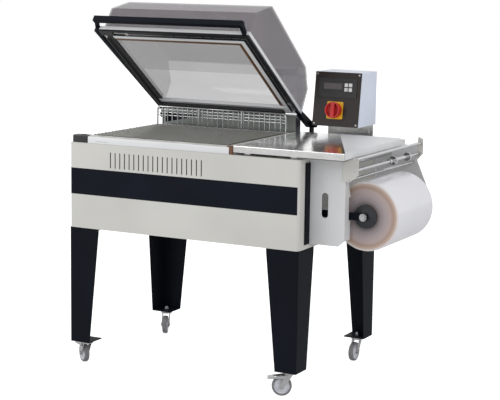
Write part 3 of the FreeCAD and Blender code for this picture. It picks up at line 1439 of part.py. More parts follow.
# ---------------------------------------------------------------- the whole machine
def build():
    """Every node by name, in machine coordinates."""
    nodes = {
        "body_shell": body_shell(),
        "base_pan": base_pan(),
        "front_stripe": front_stripe(),
        "leg_fasteners": group(leg_bolts() + caster_kingpins()),
        "chamber_tub": chamber_tub(),
        "rim_frame": rim_frame(),
        "seal_pads": group(seal_pads() + [pad_wrap()]),
        "product_grid": product_grid(),
        "heating_element": heating_element(),
        "fan_wheel": fan_wheel(),
        "blower_motor": blower_motor(),
        "air_duct": air_duct(),
        "wire_guard": wire_guard(),
        "hood_cover": hood_cover(),
        "hood_frame": hood_frame(),
        "blade_holder": blade_holder(),
        "seal_blade": seal_blade(),
        "blade_tensioners": blade_tensioners(),
        "press_strips": press_strips(),
        "cover_strips": cover_strips(),
        "hood_gasket": hood_gasket(),
        "hood_arms": group([handle(), hinge_arm()]),
        "magnet_cover": magnet_cover(),
        "packing_table": packing_table(),
        "film_spreader": film_spreader(),
        "carriage_plate_front": carriage_plate_front(),
        "carriage_plate_rear": carriage_plate_rear(),
        "reel_arm": group([reel_arm(), carriage_guide()]),
        "roller_brackets": group([roller_bracket(True), roller_bracket(False)]),
        "tie_bars": group(tie_bars() + [film_roller("film_guide_bar")]),
        "film_roller_top": film_roller("film_roller_top"),
        "pin_roller": pin_roller(),
        "reel_shaft": reel_shaft(),
        "reel_cones": group(reel_cones()),
        "reel_core": reel_core(),
        "film_roll": film_roll(),
        "control_box": control_box(),
        "control_panel": control_panel(),
        "display_unit": display_unit(),
        "display_window": display_window(),
        "switch_plate": switch_plate(),
        "switch_knob": switch_knob(),
        "panel_screws": panel_screws(),
        "box_bracket": box_bracket(),
    }
    nodes["hinge_brackets"] = group(hinge_bracket(left_arm_left, -1) + hinge_bracket(hood_right, 1))
    legs = {name: placed_in_corner(leg(), corner) for name, corner in leg_turns().items()}
    nodes["legs"] = group(list(legs.values()))
    for n in range(4):
        nodes["key_" + str(n + 1)] = key(n)
    for name in caster_turns:
        nodes["caster_fork_" + name] = caster_fork(name)
        nodes["caster_wheel_" + name] = caster_wheel(name)
    for name in braked_casters:
        nodes["brake_pedal_" + name] = brake_pedal(name)
    return nodes


def middle_of(nodes):
    """The middle of the machine's footprint."""
    box = FreeCAD.BoundBox()
    for shape in nodes.values():
        box.add(shape.BoundBox)
    return V(box.Center.x, box.Center.y, 0)


parts = build()
shift = -middle_of(parts)
os.makedirs("parts", exist_ok=True)
for node, shape in parts.items():
    shape.translate(shift)
    shape.exportStep("parts/" + node + ".step")
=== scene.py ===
import math

import bmesh
import bpy
import numpy as np
from mathutils import Matrix, Vector
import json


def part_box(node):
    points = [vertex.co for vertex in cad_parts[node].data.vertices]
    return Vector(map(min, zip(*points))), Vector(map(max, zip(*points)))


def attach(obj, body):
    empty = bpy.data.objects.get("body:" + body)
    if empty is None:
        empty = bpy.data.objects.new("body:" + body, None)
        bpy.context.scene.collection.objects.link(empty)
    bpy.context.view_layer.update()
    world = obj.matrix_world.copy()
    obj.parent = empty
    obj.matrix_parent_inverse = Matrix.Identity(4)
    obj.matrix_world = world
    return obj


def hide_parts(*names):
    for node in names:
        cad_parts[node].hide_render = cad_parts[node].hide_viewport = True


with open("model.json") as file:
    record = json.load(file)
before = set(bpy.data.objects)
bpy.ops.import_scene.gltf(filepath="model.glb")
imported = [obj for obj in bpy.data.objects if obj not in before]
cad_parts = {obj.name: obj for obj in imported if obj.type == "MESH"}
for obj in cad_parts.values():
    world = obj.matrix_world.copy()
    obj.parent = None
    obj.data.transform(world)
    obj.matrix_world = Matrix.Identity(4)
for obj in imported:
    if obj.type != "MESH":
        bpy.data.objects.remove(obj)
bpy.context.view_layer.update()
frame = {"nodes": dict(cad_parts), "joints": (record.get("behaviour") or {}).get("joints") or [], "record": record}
nodes = frame["nodes"]
body_of_node = {node: body for body, held in frame["record"]["behaviour"]["bodies"].items() for node in held}


# ---------------------------------------------------------------- camera
# A long lens in front of the right corner, a little above the work height.
# Its place is measured from the cabinet's lower left front corner.
corner = Vector(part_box("body_shell")[0])
camera_from_corner = Vector((3.3273, -4.8421, 1.5821))
camera_turn, camera_tilt, camera_roll = math.radians(27.65), math.radians(8.91), math.radians(0.83)
film_width, lens_length = 36.0, 109.2
camera_data = bpy.data.cameras.new("camera")
camera_data.sensor_width = film_width
camera_data.lens = lens_length
camera = bpy.data.objects.new("camera", camera_data)
bpy.context.collection.objects.link(camera)
camera.matrix_world = (Matrix.Translation(Vector((corner.x, corner.y, 0.0)) + camera_from_corner)
                       @ Matrix.Rotation(camera_turn, 4, "Z")
                       @ Matrix.Rotation(math.pi / 2 - camera_tilt, 4, "X")
                       @ Matrix.Rotation(camera_roll, 4, "Z"))
bpy.context.scene.camera = camera
bpy.context.scene.view_settings.view_transform = "Standard"


# ---------------------------------------------------------------- studio
# A white room: a pale floor that keeps the shadow, an even sky,
# and two large soft lamps, one high on the left and one low on the right.
sky_level = 0.62
floor_half = 14.0
floor_white = 0.86
floor_lift = 0.72


def node_of(tree, kind, **values):
    """Adds a shader node and sets its plain values."""
    made = tree.nodes.new(kind)
    for key, value in values.items():
        if hasattr(made, key):
            setattr(made, key, value)
        else:
            made.inputs[key.replace("_", " ")].default_value = value
    return made


def white_to_the_eye(tree, surface_output, out_socket):
    """Mixes in a second surface for the camera, for glossy rays and through clear sheets."""
    path = tree.nodes.new("ShaderNodeLightPath")
    either = node_of(tree, "ShaderNodeMath", operation="MAXIMUM")
    any_ray = node_of(tree, "ShaderNodeMath", operation="MAXIMUM")
    tree.links.new(path.outputs["Is Camera Ray"], either.inputs[0])
    tree.links.new(path.outputs["Is Glossy Ray"], either.inputs[1])
    tree.links.new(either.outputs[0], any_ray.inputs[0])
    tree.links.new(path.outputs["Is Transmission Ray"], any_ray.inputs[1])
    mix = tree.nodes.new("ShaderNodeMixShader")
    tree.links.new(any_ray.outputs[0], mix.inputs[0])
    tree.links.new(surface_output, mix.inputs[1])
    tree.links.new(mix.outputs[0], out_socket)
    return mix


world = bpy.data.worlds.new("studio")
bpy.context.scene.world = world
world.use_nodes = True
world_tree = world.node_tree
world_tree.nodes.clear()
world_out = world_tree.nodes.new("ShaderNodeOutputWorld")
sky = node_of(world_tree, "ShaderNodeBackground", Color=(1.0, 1.0, 1.0, 1.0), Strength=sky_level)
backdrop = node_of(world_tree, "ShaderNodeBackground", Color=(1.0, 1.0, 1.0, 1.0), Strength=1.0)
sky_mix = white_to_the_eye(world_tree, sky.outputs[0], world_out.inputs[0])
world_tree.links.new(backdrop.outputs[0], sky_mix.inputs[2])

floor_mesh = bpy.data.meshes.new("floor")
floor_mesh.from_pydata([(-floor_half, -floor_half, 0), (floor_half, -floor_half, 0),
                        (floor_half, floor_half, 0), (-floor_half, floor_half, 0)], [], [(0, 1, 2, 3)])
floor = bpy.data.objects.new("floor", floor_mesh)
bpy.context.collection.objects.link(floor)
floor_paint = bpy.data.materials.new("floor_white")
floor_paint.use_nodes = True
floor_tree = floor_paint.node_tree
floor_tree.nodes.clear()
floor_out = floor_tree.nodes.new("ShaderNodeOutputMaterial")
floor_diffuse = node_of(floor_tree, "ShaderNodeBsdfDiffuse",
                        Color=(floor_white, floor_white, floor_white, 1.0))
floor_glow = node_of(floor_tree, "ShaderNodeEmission", Color=(1.0, 1.0, 1.0, 1.0), Strength=floor_lift)
floor_sum = floor_tree.nodes.new("ShaderNodeAddShader")
floor_path = floor_tree.nodes.new("ShaderNodeLightPath")
floor_mix = floor_tree.nodes.new("ShaderNodeMixShader")
floor_tree.links.new(floor_diffuse.outputs[0], floor_sum.inputs[0])
floor_tree.links.new(floor_glow.outputs[0], floor_sum.inputs[1])
floor_tree.links.new(floor_path.outputs["Is Camera Ray"], floor_mix.inputs[0])
floor_tree.links.new(floor_diffuse.outputs[0], floor_mix.inputs[1])
floor_tree.links.new(floor_sum.outputs[0], floor_mix.inputs[2])
floor_tree.links.new(floor_mix.outputs[0], floor_out.inputs[0])
floor_mesh.materials.append(floor_paint)


def soft_lamp(name, place, aim, size, power):
    """A square area lamp that looks at a point."""
    data = bpy.data.lights.new(name, "AREA")
    data.size = size
    data.energy = power
    lamp = bpy.data.objects.new(name, data)
    lamp.location = place
    lamp.rotation_euler = (Vector(aim) - Vector(place)).to_track_quat("-Z", "Y").to_euler()
    bpy.context.collection.objects.link(lamp)


work_height = 0.7
soft_lamp("lamp_left", (-3.2, -3.4, 3.6), (0.0, 0.0, work_height), 2.6, 95.0)
soft_lamp("lamp_right", (3.6, -2.2, 2.6), (0.2, 0.0, work_height), 2.4, 42.0)


# ---------------------------------------------------------------- cabinet casing
# Folded 2 mm sheet, powder-coated in a warm off-white, with a row of pressed louvre slots.
# The floor pan closes it from below, in the same paint.
paint_cream = (0.585, 0.58, 0.55)
edge_width = 0.0012
edge_segments = 2
edge_angle = math.radians(32.0)
flat_angle = math.radians(0.6)
peel_scale = 900.0


def new_material(name):
    """An empty node material with a Principled shader: returns the material, its tree and the shader."""
    made = bpy.data.materials.new(name)
    made.use_nodes = True
    tree = made.node_tree
    shader = tree.nodes["Principled BSDF"]
    return made, tree, shader


def noise(tree, scale, detail=3.0, stretch=(1.0, 1.0, 1.0)):
    """Noise on object coordinates, stretched along the axes."""
    place = tree.nodes.new("ShaderNodeTexCoord")
    mapping = tree.nodes.new("ShaderNodeMapping")
    mapping.inputs["Scale"].default_value = stretch
    made = tree.nodes.new("ShaderNodeTexNoise")
    made.inputs["Scale"].default_value = scale
    made.inputs["Detail"].default_value = detail
    tree.links.new(place.outputs["Object"], mapping.inputs["Vector"])
    tree.links.new(mapping.outputs[0], made.inputs["Vector"])
    return made


def ramp_between(tree, factor, low, high, from_value=0.35, to_value=0.65):
    """A colour that runs from low to high as the factor grows."""
    made = tree.nodes.new("ShaderNodeValToRGB")
    made.color_ramp.elements[0].position = from_value
    made.color_ramp.elements[1].position = to_value
    made.color_ramp.elements[0].color = (*low, 1.0)
    made.color_ramp.elements[1].color = (*high, 1.0)
    tree.links.new(factor, made.inputs[0])
    return made.outputs[0]


def span(tree, factor, low, high):
    """A number that runs from low to high as the factor runs from 0.3 to 0.7."""
    made = tree.nodes.new("ShaderNodeMapRange")
    made.inputs["From Min"].default_value = 0.3
    made.inputs["From Max"].default_value = 0.7
    made.inputs["To Min"].default_value = low
    made.inputs["To Max"].default_value = high
    tree.links.new(factor, made.inputs["Value"])
    return made.outputs[0]


def vary_roughness(tree, shader, factor, low, high):
    """Lets the roughness follow the factor between two values."""
    tree.links.new(span(tree, factor, low, high), shader.inputs["Roughness"])


def bump(tree, shader, height, strength, distance):
    """Raises the surface by the height, as a bump on the shader's normal."""
    made = tree.nodes.new("ShaderNodeBump")
    made.inputs["Strength"].default_value = strength
    made.inputs["Distance"].default_value = distance
    tree.links.new(height, made.inputs["Height"])
    tree.links.new(made.outputs[0], shader.inputs["Normal"])


def powder_coat(name, colour, roughness=0.42, shade=0.05, gloss=0.5):
    """Powder coat: a fine orange-peel bump, and a very slight drift of the colour."""
    made, tree, shader = new_material(name)
    shader.inputs["Specular IOR Level"].default_value = gloss
    drift = noise(tree, 3.0, 2.0)
    low = tuple(c * (1.0 - shade) for c in colour)
    high = tuple(min(1.0, c * (1.0 + shade)) for c in colour)
    tree.links.new(ramp_between(tree, drift.outputs[0], low, high), shader.inputs["Base Color"])
    peel = noise(tree, peel_scale, 2.0)
    vary_roughness(tree, shader, peel.outputs[0], roughness - 0.05, roughness + 0.05)
    bump(tree, shader, peel.outputs[0], 0.12, 0.0004)
    return made


def merged_copy(node, bevel):
    """A copy of a node's mesh with its loose triangles joined, its flat faces whole and its edges broken."""
    mesh = nodes[node].data.copy()
    work = bmesh.new()
    work.from_mesh(mesh)
    bmesh.ops.remove_doubles(work, verts=work.verts, dist=1e-6)
    bmesh.ops.dissolve_limit(work, angle_limit=flat_angle, verts=work.verts, edges=work.edges)
    work.to_mesh(mesh)
    work.free()
    mesh.materials.clear()
    mesh.set_sharp_from_angle(angle=edge_angle)
    mesh.polygons.foreach_set("use_smooth", np.ones(len(mesh.polygons), dtype=bool))
    piece = bpy.data.objects.new(node + "_skin", mesh)
    bpy.context.collection.objects.link(piece)
    if bevel > 0:
        rounding = piece.modifiers.new("edges", "BEVEL")
        rounding.width = bevel
        rounding.segments = edge_segments
        rounding.limit_method = "ANGLE"
        rounding.angle_limit = edge_angle
        rounding.use_clamp_overlap = True
        rounding.harden_normals = True
    return piece


def dress(node, material, bevel=edge_width):
    """Shows a merged copy of a node in its place, in one material."""
    piece = merged_copy(node, bevel)
    piece.data.materials.append(material)
    take_place(piece, node)
    return piece


def paint_where(piece, material, chosen):
    """Puts a second material on the faces whose middle and normal pass the test."""
    piece.data.materials.append(material)
    slot = len(piece.data.materials) - 1
    for face in piece.data.polygons:
        if chosen(face.center, face.normal):
            face.material_index = slot


def take_place(piece, *replaced):
    """The piece rides on the first node's body and stands for all of them, which are hidden."""
    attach(piece, body_of_node[replaced[0]])
    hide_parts(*replaced)


cream = powder_coat("powder_coat_cream", paint_cream)
dress("body_shell", cream, 0.0008)
dress("base_pan", cream, 0.0)


# ---------------------------------------------------------------- dark band
# A self-adhesive film in blue-black across the front panel and round its left corner.
band_colour = (0.0042, 0.0062, 0.0120)
band, band_tree, band_shader = new_material("band_film")
band_drift = noise(band_tree, 4.0)
band_tree.links.new(ramp_between(band_tree, band_drift.outputs[0], tuple(c * 0.85 for c in band_colour),
                                 tuple(c * 1.2 for c in band_colour)), band_shader.inputs["Base Color"])
band_shader.inputs["Specular IOR Level"].default_value = 0.10
band_grain = noise(band_tree, 1400.0, 1.0)
vary_roughness(band_tree, band_shader, band_grain.outputs[0], 0.30, 0.40)
dress("front_stripe", band, 0.0)


# ---------------------------------------------------------------- legs
# Four folded angles of 3 mm sheet that taper to a foot plate, in a near-black powder coat,
# bolted up into the cabinet's floor.  The bolts and kingpins are zinc-plated.
paint_black = (0.0045, 0.0062, 0.0105)
black = powder_coat("powder_coat_black", paint_black, 0.52, 0.10, gloss=0.07)
dress("legs", black, 0.0010)


def plated(name, colour=(0.50, 0.50, 0.51), roughness=0.30):
    """Bright zinc or chrome plate: metal with small cloudy changes of tone and gloss."""
    made, tree, shader = new_material(name)
    shader.inputs["Metallic"].default_value = 1.0
    cloud = noise(tree, 60.0, 4.0)
    low = tuple(c * 0.86 for c in colour)
    tree.links.new(ramp_between(tree, cloud.outputs[0], low, colour), shader.inputs["Base Color"])
    vary_roughness(tree, shader, cloud.outputs[0], roughness - 0.06, roughness + 0.08)
    return made


zinc = plated("zinc_plate")
dress("leg_fasteners", zinc, 0.0004)


# ---------------------------------------------------------------- casters
# A pressed, plated fork on a single kingpin, a pale nylon wheel with a grey rubber tread,
# and a foot brake on the front two.
caster_names = [name[len("caster_wheel_"):] for name in nodes if name.startswith("caster_wheel_")]
wheel_radius, wheel_half = 0.0375, 0.012
tread_start, tread_inset, tread_rounding = 0.0285, 0.0015, 0.004
bore_radius, boss_radius, dish_start, dish_end, disc_radius = 0.0042, 0.0125, 0.0140, 0.0245, 0.0290
dish_deep, dish_shallow, disc_half, disc_rounding = 0.0075, 0.0065, 0.0100, 0.0012
tread_side = [(tread_start, wheel_half - tread_inset), (wheel_radius, wheel_half - 2 * tread_inset)]
disc_side = [(bore_radius, wheel_half), (boss_radius, wheel_half), (dish_start, dish_deep),
             (dish_end, dish_shallow), (disc_radius, disc_half)]


def surface(name, points, close_u=False, close_v=False):
    """A mesh from a grid of points, rows by columns, closed round either way."""
    rows, columns = points.shape[:2]
    index = np.arange(rows * columns).reshape(rows, columns)
    if close_u:
        index = np.vstack([index, index[:1]])
    if close_v:
        index = np.hstack([index, index[:, :1]])
    quads = np.stack([index[:-1, :-1], index[:-1, 1:], index[1:, 1:], index[1:, :-1]], axis=-1).reshape(-1, 4)
    mesh = bpy.data.meshes.new(name)
    mesh.from_pydata(points.reshape(-1, 3).tolist(), [], quads.tolist())
    mesh.polygons.foreach_set("use_smooth", np.ones(len(mesh.polygons), dtype=bool))
    piece = bpy.data.objects.new(name, mesh)
    bpy.context.collection.objects.link(piece)
    return piece


def rounded_profile(corners, rounding, steps=4):
    """The profile's corners softened: each one is a quadratic curve between points on its two sides."""
    corners = np.array(corners, dtype=float)
    before, after = np.roll(corners, 1, axis=0), np.roll(corners, -1, axis=0)
    to_before, to_after = before - corners, after - corners
    length_before = np.linalg.norm(to_before, axis=1, keepdims=True)
    length_after = np.linalg.norm(to_after, axis=1, keepdims=True)
    reach_before = np.minimum(rounding, 0.45 * length_before)
    reach_after = np.minimum(rounding, 0.45 * length_after)
    start = corners + to_before / length_before * reach_before
    end = corners + to_after / length_after * reach_after
    share = np.linspace(0.0, 1.0, steps + 1)[None, :, None]
    curve = ((1 - share) ** 2 * start[:, None] + 2 * share * (1 - share) * corners[:, None]
             + share ** 2 * end[:, None])
    return curve.reshape(-1, 2)


def both_sides(side):
    """A closed wheel section from its upper half: the same points below, then back over the top."""
    return [(radius, -height) for radius, height in side] + side[::-1]


def lathe(name, profile, middle, axis, segments=64):
    """A closed ring surface: each (radius, height) of the profile goes round the axis through the middle."""
    axis = Vector(axis).normalized()
    side = axis.orthogonal().normalized()
    other = axis.cross(side)
    angle = np.linspace(0.0, 2 * math.pi, segments, endpoint=False)
    out = np.cos(angle)[:, None] * np.array(side) + np.sin(angle)[:, None] * np.array(other)
    profile = np.asarray(profile)
    points = (np.array(middle) + profile[None, :, :1] * out[:, None, :]
              + profile[None, :, 1:] * np.array(axis))
    piece = surface(name, points, close_u=True, close_v=True)
    point_outwards(piece)
    return piece


def point_outwards(piece):
    """Makes every face of a closed surface look outwards."""
    work = bmesh.new()
    work.from_mesh(piece.data)
    bmesh.ops.remove_doubles(work, verts=work.verts, dist=1e-7)
    bmesh.ops.recalc_face_normals(work, faces=work.faces)
    work.to_mesh(piece.data)
    work.free()


def joint_of(body):
    """The joint that moves a body."""
    return next(j for j in frame["joints"] if j["child"] == body)


def rubber(name, colour, roughness=0.62):
    """Moulded rubber: dull, with a fine grain and slightly uneven tone."""
    made, tree, shader = new_material(name)
    drift = noise(tree, 40.0, 3.0)
    low = tuple(c * 0.85 for c in colour)
    high = tuple(c * 1.12 for c in colour)
    tree.links.new(ramp_between(tree, drift.outputs[0], low, high), shader.inputs["Base Color"])
    grain = noise(tree, 1500.0, 2.0)
    vary_roughness(tree, shader, grain.outputs[0], roughness - 0.06, roughness + 0.08)
    bump(tree, shader, grain.outputs[0], 0.15, 0.0003)
    return made


tread_rubber = rubber("tread_grey", (0.20, 0.20, 0.215))
disc_nylon = rubber("wheel_nylon", (0.60, 0.60, 0.66), 0.40)
for place in caster_names:
    roll = joint_of("wheel_" + place)
    hub = Vector(roll["pos_m"])
    axle = Vector(roll["axis"])
    tread = lathe("tread_" + place, rounded_profile(both_sides(tread_side), tread_rounding), hub, axle)
    tread.data.materials.append(tread_rubber)
    take_place(tread, "caster_wheel_" + place)
    disc = lathe("disc_" + place, rounded_profile(both_sides(disc_side), disc_rounding), hub, axle)
    disc.data.materials.append(disc_nylon)
    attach(disc, "wheel_" + place)
    dress("caster_fork_" + place, zinc, 0.0006)
for place in ("front_left", "front_right"):
    dress("brake_pedal_" + place, zinc, 0.0006)


# ---------------------------------------------------------------- chamber
# The rim is a welded frame in white paint.  The seal pads are strips of white silicone, wrapped at
# their corner in brown non-stick cloth.  The grid is round wire, and the tub is stainless sheet coloured
# near-black as painted shade.
paint_white = (0.73, 0.74, 0.755)
white = powder_coat("powder_coat_white", paint_white)
dress("rim_frame", white, 0.0012)


def coated_cloth(name, colour):
    """Glass cloth with a non-stick coat: a fine weave under a satin film."""
    made, tree, shader = new_material(name)
    place = tree.nodes.new("ShaderNodeTexCoord")
    weave = tree.nodes.new("ShaderNodeTexBrick")
    weave.inputs["Scale"].default_value = 420.0
    weave.inputs["Mortar Size"].default_value = 0.06
    tree.links.new(place.outputs["Object"], weave.inputs["Vector"])
    low = tuple(c * 0.7 for c in colour)
    drift = noise(tree, 30.0)
    tree.links.new(ramp_between(tree, drift.outputs[0], low, colour), shader.inputs["Base Color"])
    vary_roughness(tree, shader, drift.outputs[0], 0.34, 0.48)
    bump(tree, shader, weave.outputs["Fac"], 0.10, 0.0002)
    return made


brown_cloth = coated_cloth("brown_cloth", (0.16, 0.075, 0.035))
silicone = coated_cloth("silicone_white", (0.62, 0.61, 0.58))
pads = dress("seal_pads", silicone, 0.0010)
pad_low, pad_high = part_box("seal_pads")
pad_corner = 0.028
paint_where(pads, brown_cloth, lambda middle, normal: middle.x > pad_high.x - pad_corner
            and middle.y < pad_low.y + pad_corner + 0.001)


def brushed(name, colour, roughness, stretch, scratch=0.06):
    """Brushed sheet: long fine scratches along one way, and a soft mottled gloss."""
    made, tree, shader = new_material(name)
    shader.inputs["Metallic"].default_value = 1.0
    lines = noise(tree, 260.0, 4.0, stretch)
    cloud = noise(tree, 6.0, 3.0)
    low = tuple(c * 0.9 for c in colour)
    tree.links.new(ramp_between(tree, cloud.outputs[0], low, colour), shader.inputs["Base Color"])
    vary_roughness(tree, shader, lines.outputs[0], roughness - 0.07, roughness + 0.09)
    bump(tree, shader, lines.outputs[0], scratch, 0.0002)
    return made


stainless = brushed("stainless_sheet", (0.58, 0.58, 0.57), 0.28, (0.05, 1.0, 1.0))
bright = plated("bright_wire", (0.62, 0.62, 0.63), 0.18)
# The tub's stainless is coloured near-black: painted shade for the dim chamber under the grid.
tub_painted_shade = brushed("tub_sheet_painted_shade", (0.085, 0.085, 0.085), 0.42, (1.0, 0.05, 1.0))
dress("chamber_tub", tub_painted_shade, 0.0)
grid_wire_painted_light, grid_tree, grid_shader = new_material("grid_wire_painted_light")
grid_shader.inputs["Metallic"].default_value = 1.0
# The wire's colour follows its normal: lighter on the upward faces as a painted highlight, near-black on the sides
# and below as painted shade.
grid_normal = grid_tree.nodes.new("ShaderNodeNewGeometry")
grid_split = grid_tree.nodes.new("ShaderNodeSeparateXYZ")
grid_tree.links.new(grid_normal.outputs["Normal"], grid_split.inputs[0])
wire_side_painted_shade, wire_top_painted_highlight = (0.085, 0.085, 0.080), (0.60, 0.60, 0.56)
grid_tree.links.new(ramp_between(grid_tree, grid_split.outputs["Z"], wire_side_painted_shade, wire_top_painted_highlight, 0.45, 0.95),
                    grid_shader.inputs["Base Color"])
grid_cloud = noise(grid_tree, 60.0, 4.0)
vary_roughness(grid_tree, grid_shader, grid_cloud.outputs[0], 0.26, 0.40)
dress("product_grid", grid_wire_painted_light, 0.0)
dress("heating_element", zinc, 0.0)
dress("fan_wheel", stainless, 0.0)
dress("blower_motor", black, 0.0)


# ---------------------------------------------------------------- air duct and guard
# Behind the chamber stands a blue-black sheet box with a stainless face and a barred outlet, and
# before it a welded guard of bright wire.
duct_paint = powder_coat("duct_blue_black", (0.026, 0.029, 0.046), 0.34, 0.10, gloss=0.3)
duct = dress("air_duct", duct_paint, 0.0008)
duct_sheet = brushed("duct_front_sheet", (0.27, 0.29, 0.275), 0.34, (1.0, 1.0, 0.05))
duct_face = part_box("air_duct")[0].y
face_depth = 0.004
paint_where(duct, duct_sheet, lambda middle, normal: normal.y < -0.9 and middle.y < duct_face + face_depth)
dress("wire_guard", bright, 0.0)


# ---------------------------------------------------------------- hood
# The cover is folded from smoke-tinted clear sheet.  It stands on a welded seal frame, white
# outside, with the black blade channel, the white press strips and the brown cloth underneath.
smoke_colour = (0.13, 0.108, 0.13)
smoke_face_on, smoke_edge_on = 0.32, 0.78
smoke, smoke_tree, smoke_shader = new_material("smoked_sheet")
smoke_drift = noise(smoke_tree, 5.0)
smoke_tree.links.new(ramp_between(smoke_tree, smoke_drift.outputs[0], tuple(c * 0.9 for c in smoke_colour),
                                  tuple(c * 1.1 for c in smoke_colour)), smoke_shader.inputs["Base Color"])
smoke_shader.inputs["Roughness"].default_value = 0.06
smoke_angle = node_of(smoke_tree, "ShaderNodeLayerWeight", Blend=0.28)
smoke_alpha = smoke_tree.nodes.new("ShaderNodeMapRange")
smoke_alpha.inputs["To Min"].default_value = smoke_face_on
smoke_alpha.inputs["To Max"].default_value = smoke_edge_on
smoke_tree.links.new(smoke_angle.outputs["Facing"], smoke_alpha.inputs["Value"])
smoke_tree.links.new(smoke_alpha.outputs[0], smoke_shader.inputs["Alpha"])
dress("hood_cover", smoke, 0.0)
dress("hood_frame", white, 0.0008)
channel_black = powder_coat("anodised_black", (0.010, 0.010, 0.012), 0.34, 0.10, gloss=0.25)
dress("blade_holder", channel_black, 0.0006)
dress("press_strips", white, 0.0006)
dress("cover_strips", brown_cloth, 0.0004)
foam = rubber("foam_black", (0.02, 0.02, 0.021), 0.8)
dress("hood_gasket", foam, 0.0010)
dress("seal_blade", zinc, 0.0)
dress("blade_tensioners", zinc, 0.0)
dress("hood_arms", black, 0.0010)
dress("hinge_brackets", black, 0.0008)


# ---------------------------------------------------------------- hood magnet
# A moulded black cover at the deck's front corner, with the holding magnet in its top.
moulded_black = rubber("moulded_black", (0.018, 0.018, 0.020), 0.45)
dress("magnet_cover", moulded_black, 0.0006)


# ---------------------------------------------------------------- packing table
# A brushed stainless sheet with flanges turned down.  The spreader on it is bent white sheet.
table_sheet = brushed("table_sheet", (0.94, 0.94, 0.93), 0.15, (1.0, 0.05, 1.0), 0.008)
dress("packing_table", table_sheet, 0.0010)
dress("film_spreader", white, 0.0004)


# ---------------------------------------------------------------- film carriage
# Two painted plates stand out from the cabinet and carry the rollers and the reel.
plate_white = powder_coat("powder_coat_plates", (0.63, 0.635, 0.645))
dress("carriage_plate_front", plate_white, 0.0006)
dress("carriage_plate_rear", plate_white, 0.0006)
dress("roller_brackets", cream, 0.0006)
dress("tie_bars", bright, 0.0004)
dress("film_roller_top", bright, 0.0003)
pricker = dress("pin_roller", bright, 0.0002)
wheel_nylon = rubber("pricking_wheel_nylon", (0.74, 0.74, 0.75), 0.40)
pricker_axis = Vector(joint_of("pricking_roller")["pos_m"])
hub_edge = 0.0088
paint_where(pricker, wheel_nylon, lambda middle, normal: hub_edge < math.hypot(
    middle.x - pricker_axis.x, middle.z - pricker_axis.z))
dress("reel_arm", black, 0.0008)


# ---------------------------------------------------------------- film reel
# Centre-folded film wound on a board core, held by two black cones on a steel shaft.
reel_axis = Vector(joint_of("film_reel")["pos_m"])
film, film_tree, film_shader = new_material("wound_film")
film_drift = noise(film_tree, 5.0, 3.0, (1.0, 0.3, 1.0))
film_tree.links.new(ramp_between(film_tree, film_drift.outputs[0], (0.74, 0.74, 0.80),
                                 (0.86, 0.86, 0.90)), film_shader.inputs["Base Color"])
film_shader.inputs["Roughness"].default_value = 0.20
roll = dress("film_roll", film, 0.0)
roll_radius = (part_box("film_roll")[1].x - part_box("film_roll")[0].x) / 2
layers, layer_tree, layer_shader = new_material("film_layers")
layer_place = layer_tree.nodes.new("ShaderNodeTexCoord")
layer_shift = node_of(layer_tree, "ShaderNodeVectorMath", operation="SUBTRACT")
layer_shift.inputs[1].default_value = reel_axis
layer_flat = node_of(layer_tree, "ShaderNodeVectorMath", operation="MULTIPLY")
layer_flat.inputs[1].default_value = (1.0, 0.0, 1.0)
layer_length = node_of(layer_tree, "ShaderNodeVectorMath", operation="LENGTH")
layer_share = node_of(layer_tree, "ShaderNodeMath", operation="DIVIDE")
layer_share.inputs[1].default_value = roll_radius
layer_tree.links.new(layer_place.outputs["Object"], layer_shift.inputs[0])
layer_tree.links.new(layer_shift.outputs[0], layer_flat.inputs[0])
layer_tree.links.new(layer_flat.outputs[0], layer_length.inputs[0])
layer_tree.links.new(layer_length.outputs["Value"], layer_share.inputs[0])
layer_rings = layer_tree.nodes.new("ShaderNodeTexNoise")
layer_rings.noise_dimensions = "1D"
layer_rings.inputs["Scale"].default_value = 42.0
layer_rings.inputs["Detail"].default_value = 4.0
layer_tree.links.new(layer_share.outputs[0], layer_rings.inputs["W"])
layer_wobble = node_of(layer_tree, "ShaderNodeMath", operation="MULTIPLY_ADD")
layer_wobble.inputs[1].default_value = 0.07
layer_tree.links.new(layer_rings.outputs[0], layer_wobble.inputs[0])
layer_tree.links.new(layer_share.outputs[0], layer_wobble.inputs[2])
layer_colour = layer_tree.nodes.new("ShaderNodeValToRGB")
layer_stops = ((0.36, (0.07, 0.060, 0.062)), (0.50, (0.25, 0.21, 0.22)), (0.66, (0.37, 0.31, 0.32)),
               (0.80, (0.42, 0.33, 0.31)), (0.88, (0.37, 0.26, 0.21)), (0.97, (0.52, 0.40, 0.33)),
               (1.0, (0.70, 0.66, 0.67)))
layer_stripes = layer_colour.color_ramp.elements
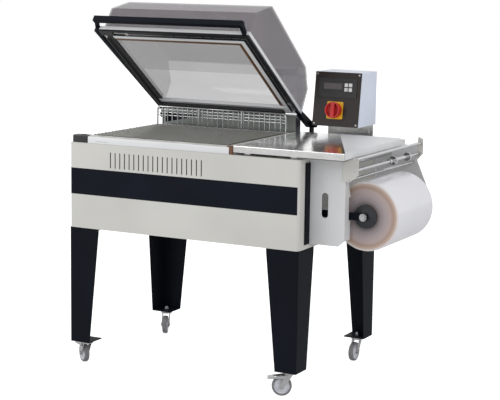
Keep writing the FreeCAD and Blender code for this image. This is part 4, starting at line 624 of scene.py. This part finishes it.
layer_stripes[0].position, layer_stripes[1].position = layer_stops[0][0], layer_stops[-1][0]
layer_stripes[0].color, layer_stripes[1].color = (*layer_stops[0][1], 1.0), (*layer_stops[-1][1], 1.0)
for stop, colour in layer_stops[1:-1]:
    layer_stripes.new(stop).color = (*colour, 1.0)
layer_tree.links.new(layer_wobble.outputs[0], layer_colour.inputs[0])
layer_tree.links.new(layer_colour.outputs[0], layer_shader.inputs["Base Color"])
vary_roughness(layer_tree, layer_shader, layer_rings.outputs[0], 0.22, 0.42)
bump(layer_tree, layer_shader, layer_rings.outputs[0], 0.25, 0.0006)
paint_where(roll, layers, lambda middle, normal: abs(normal.y) > 0.5)
dress("reel_core", brown_cloth, 0.0)
cone_black = rubber("cone_black", (0.012, 0.013, 0.018), 0.40)
dress("reel_cones", cone_black, 0.0006)
dress("reel_shaft", zinc, 0.0004)


# ---------------------------------------------------------------- control box
# A white sheet box on a stainless plate, with a dark panel, a display unit with four keys,
# and the yellow and red main switch.
box_white = powder_coat("powder_coat_box", (0.68, 0.725, 0.85))
dress("control_box", box_white, 0.0010)
dress("box_bracket", stainless, 0.0006)
panel_brown = powder_coat("panel_brown", (0.020, 0.015, 0.013), 0.30, 0.08, gloss=0.35)
dress("control_panel", panel_brown, 0.0005)
dress("display_unit", moulded_black, 0.0006)
glass_dark, glass_tree, glass_shader = new_material("display_window")
glass_noise = noise(glass_tree, 200.0)
vary_roughness(glass_tree, glass_shader, glass_noise.outputs[0], 0.08, 0.14)
glass_shader.inputs["Base Color"].default_value = (0.085, 0.070, 0.072, 1.0)
dress("display_window", glass_dark, 0.0)
key_white = rubber("key_white", (0.70, 0.70, 0.70), 0.40)
for number in range(1, 5):
    dress("key_%d" % number, key_white, 0.0006)
yellow = rubber("switch_yellow", (0.75, 0.42, 0.01), 0.34)
red = rubber("switch_red", (0.55, 0.015, 0.015), 0.32)
dress("switch_plate", yellow, 0.0008)
dress("switch_knob", red, 0.0008)
dress("panel_screws", zinc, 0.0004)
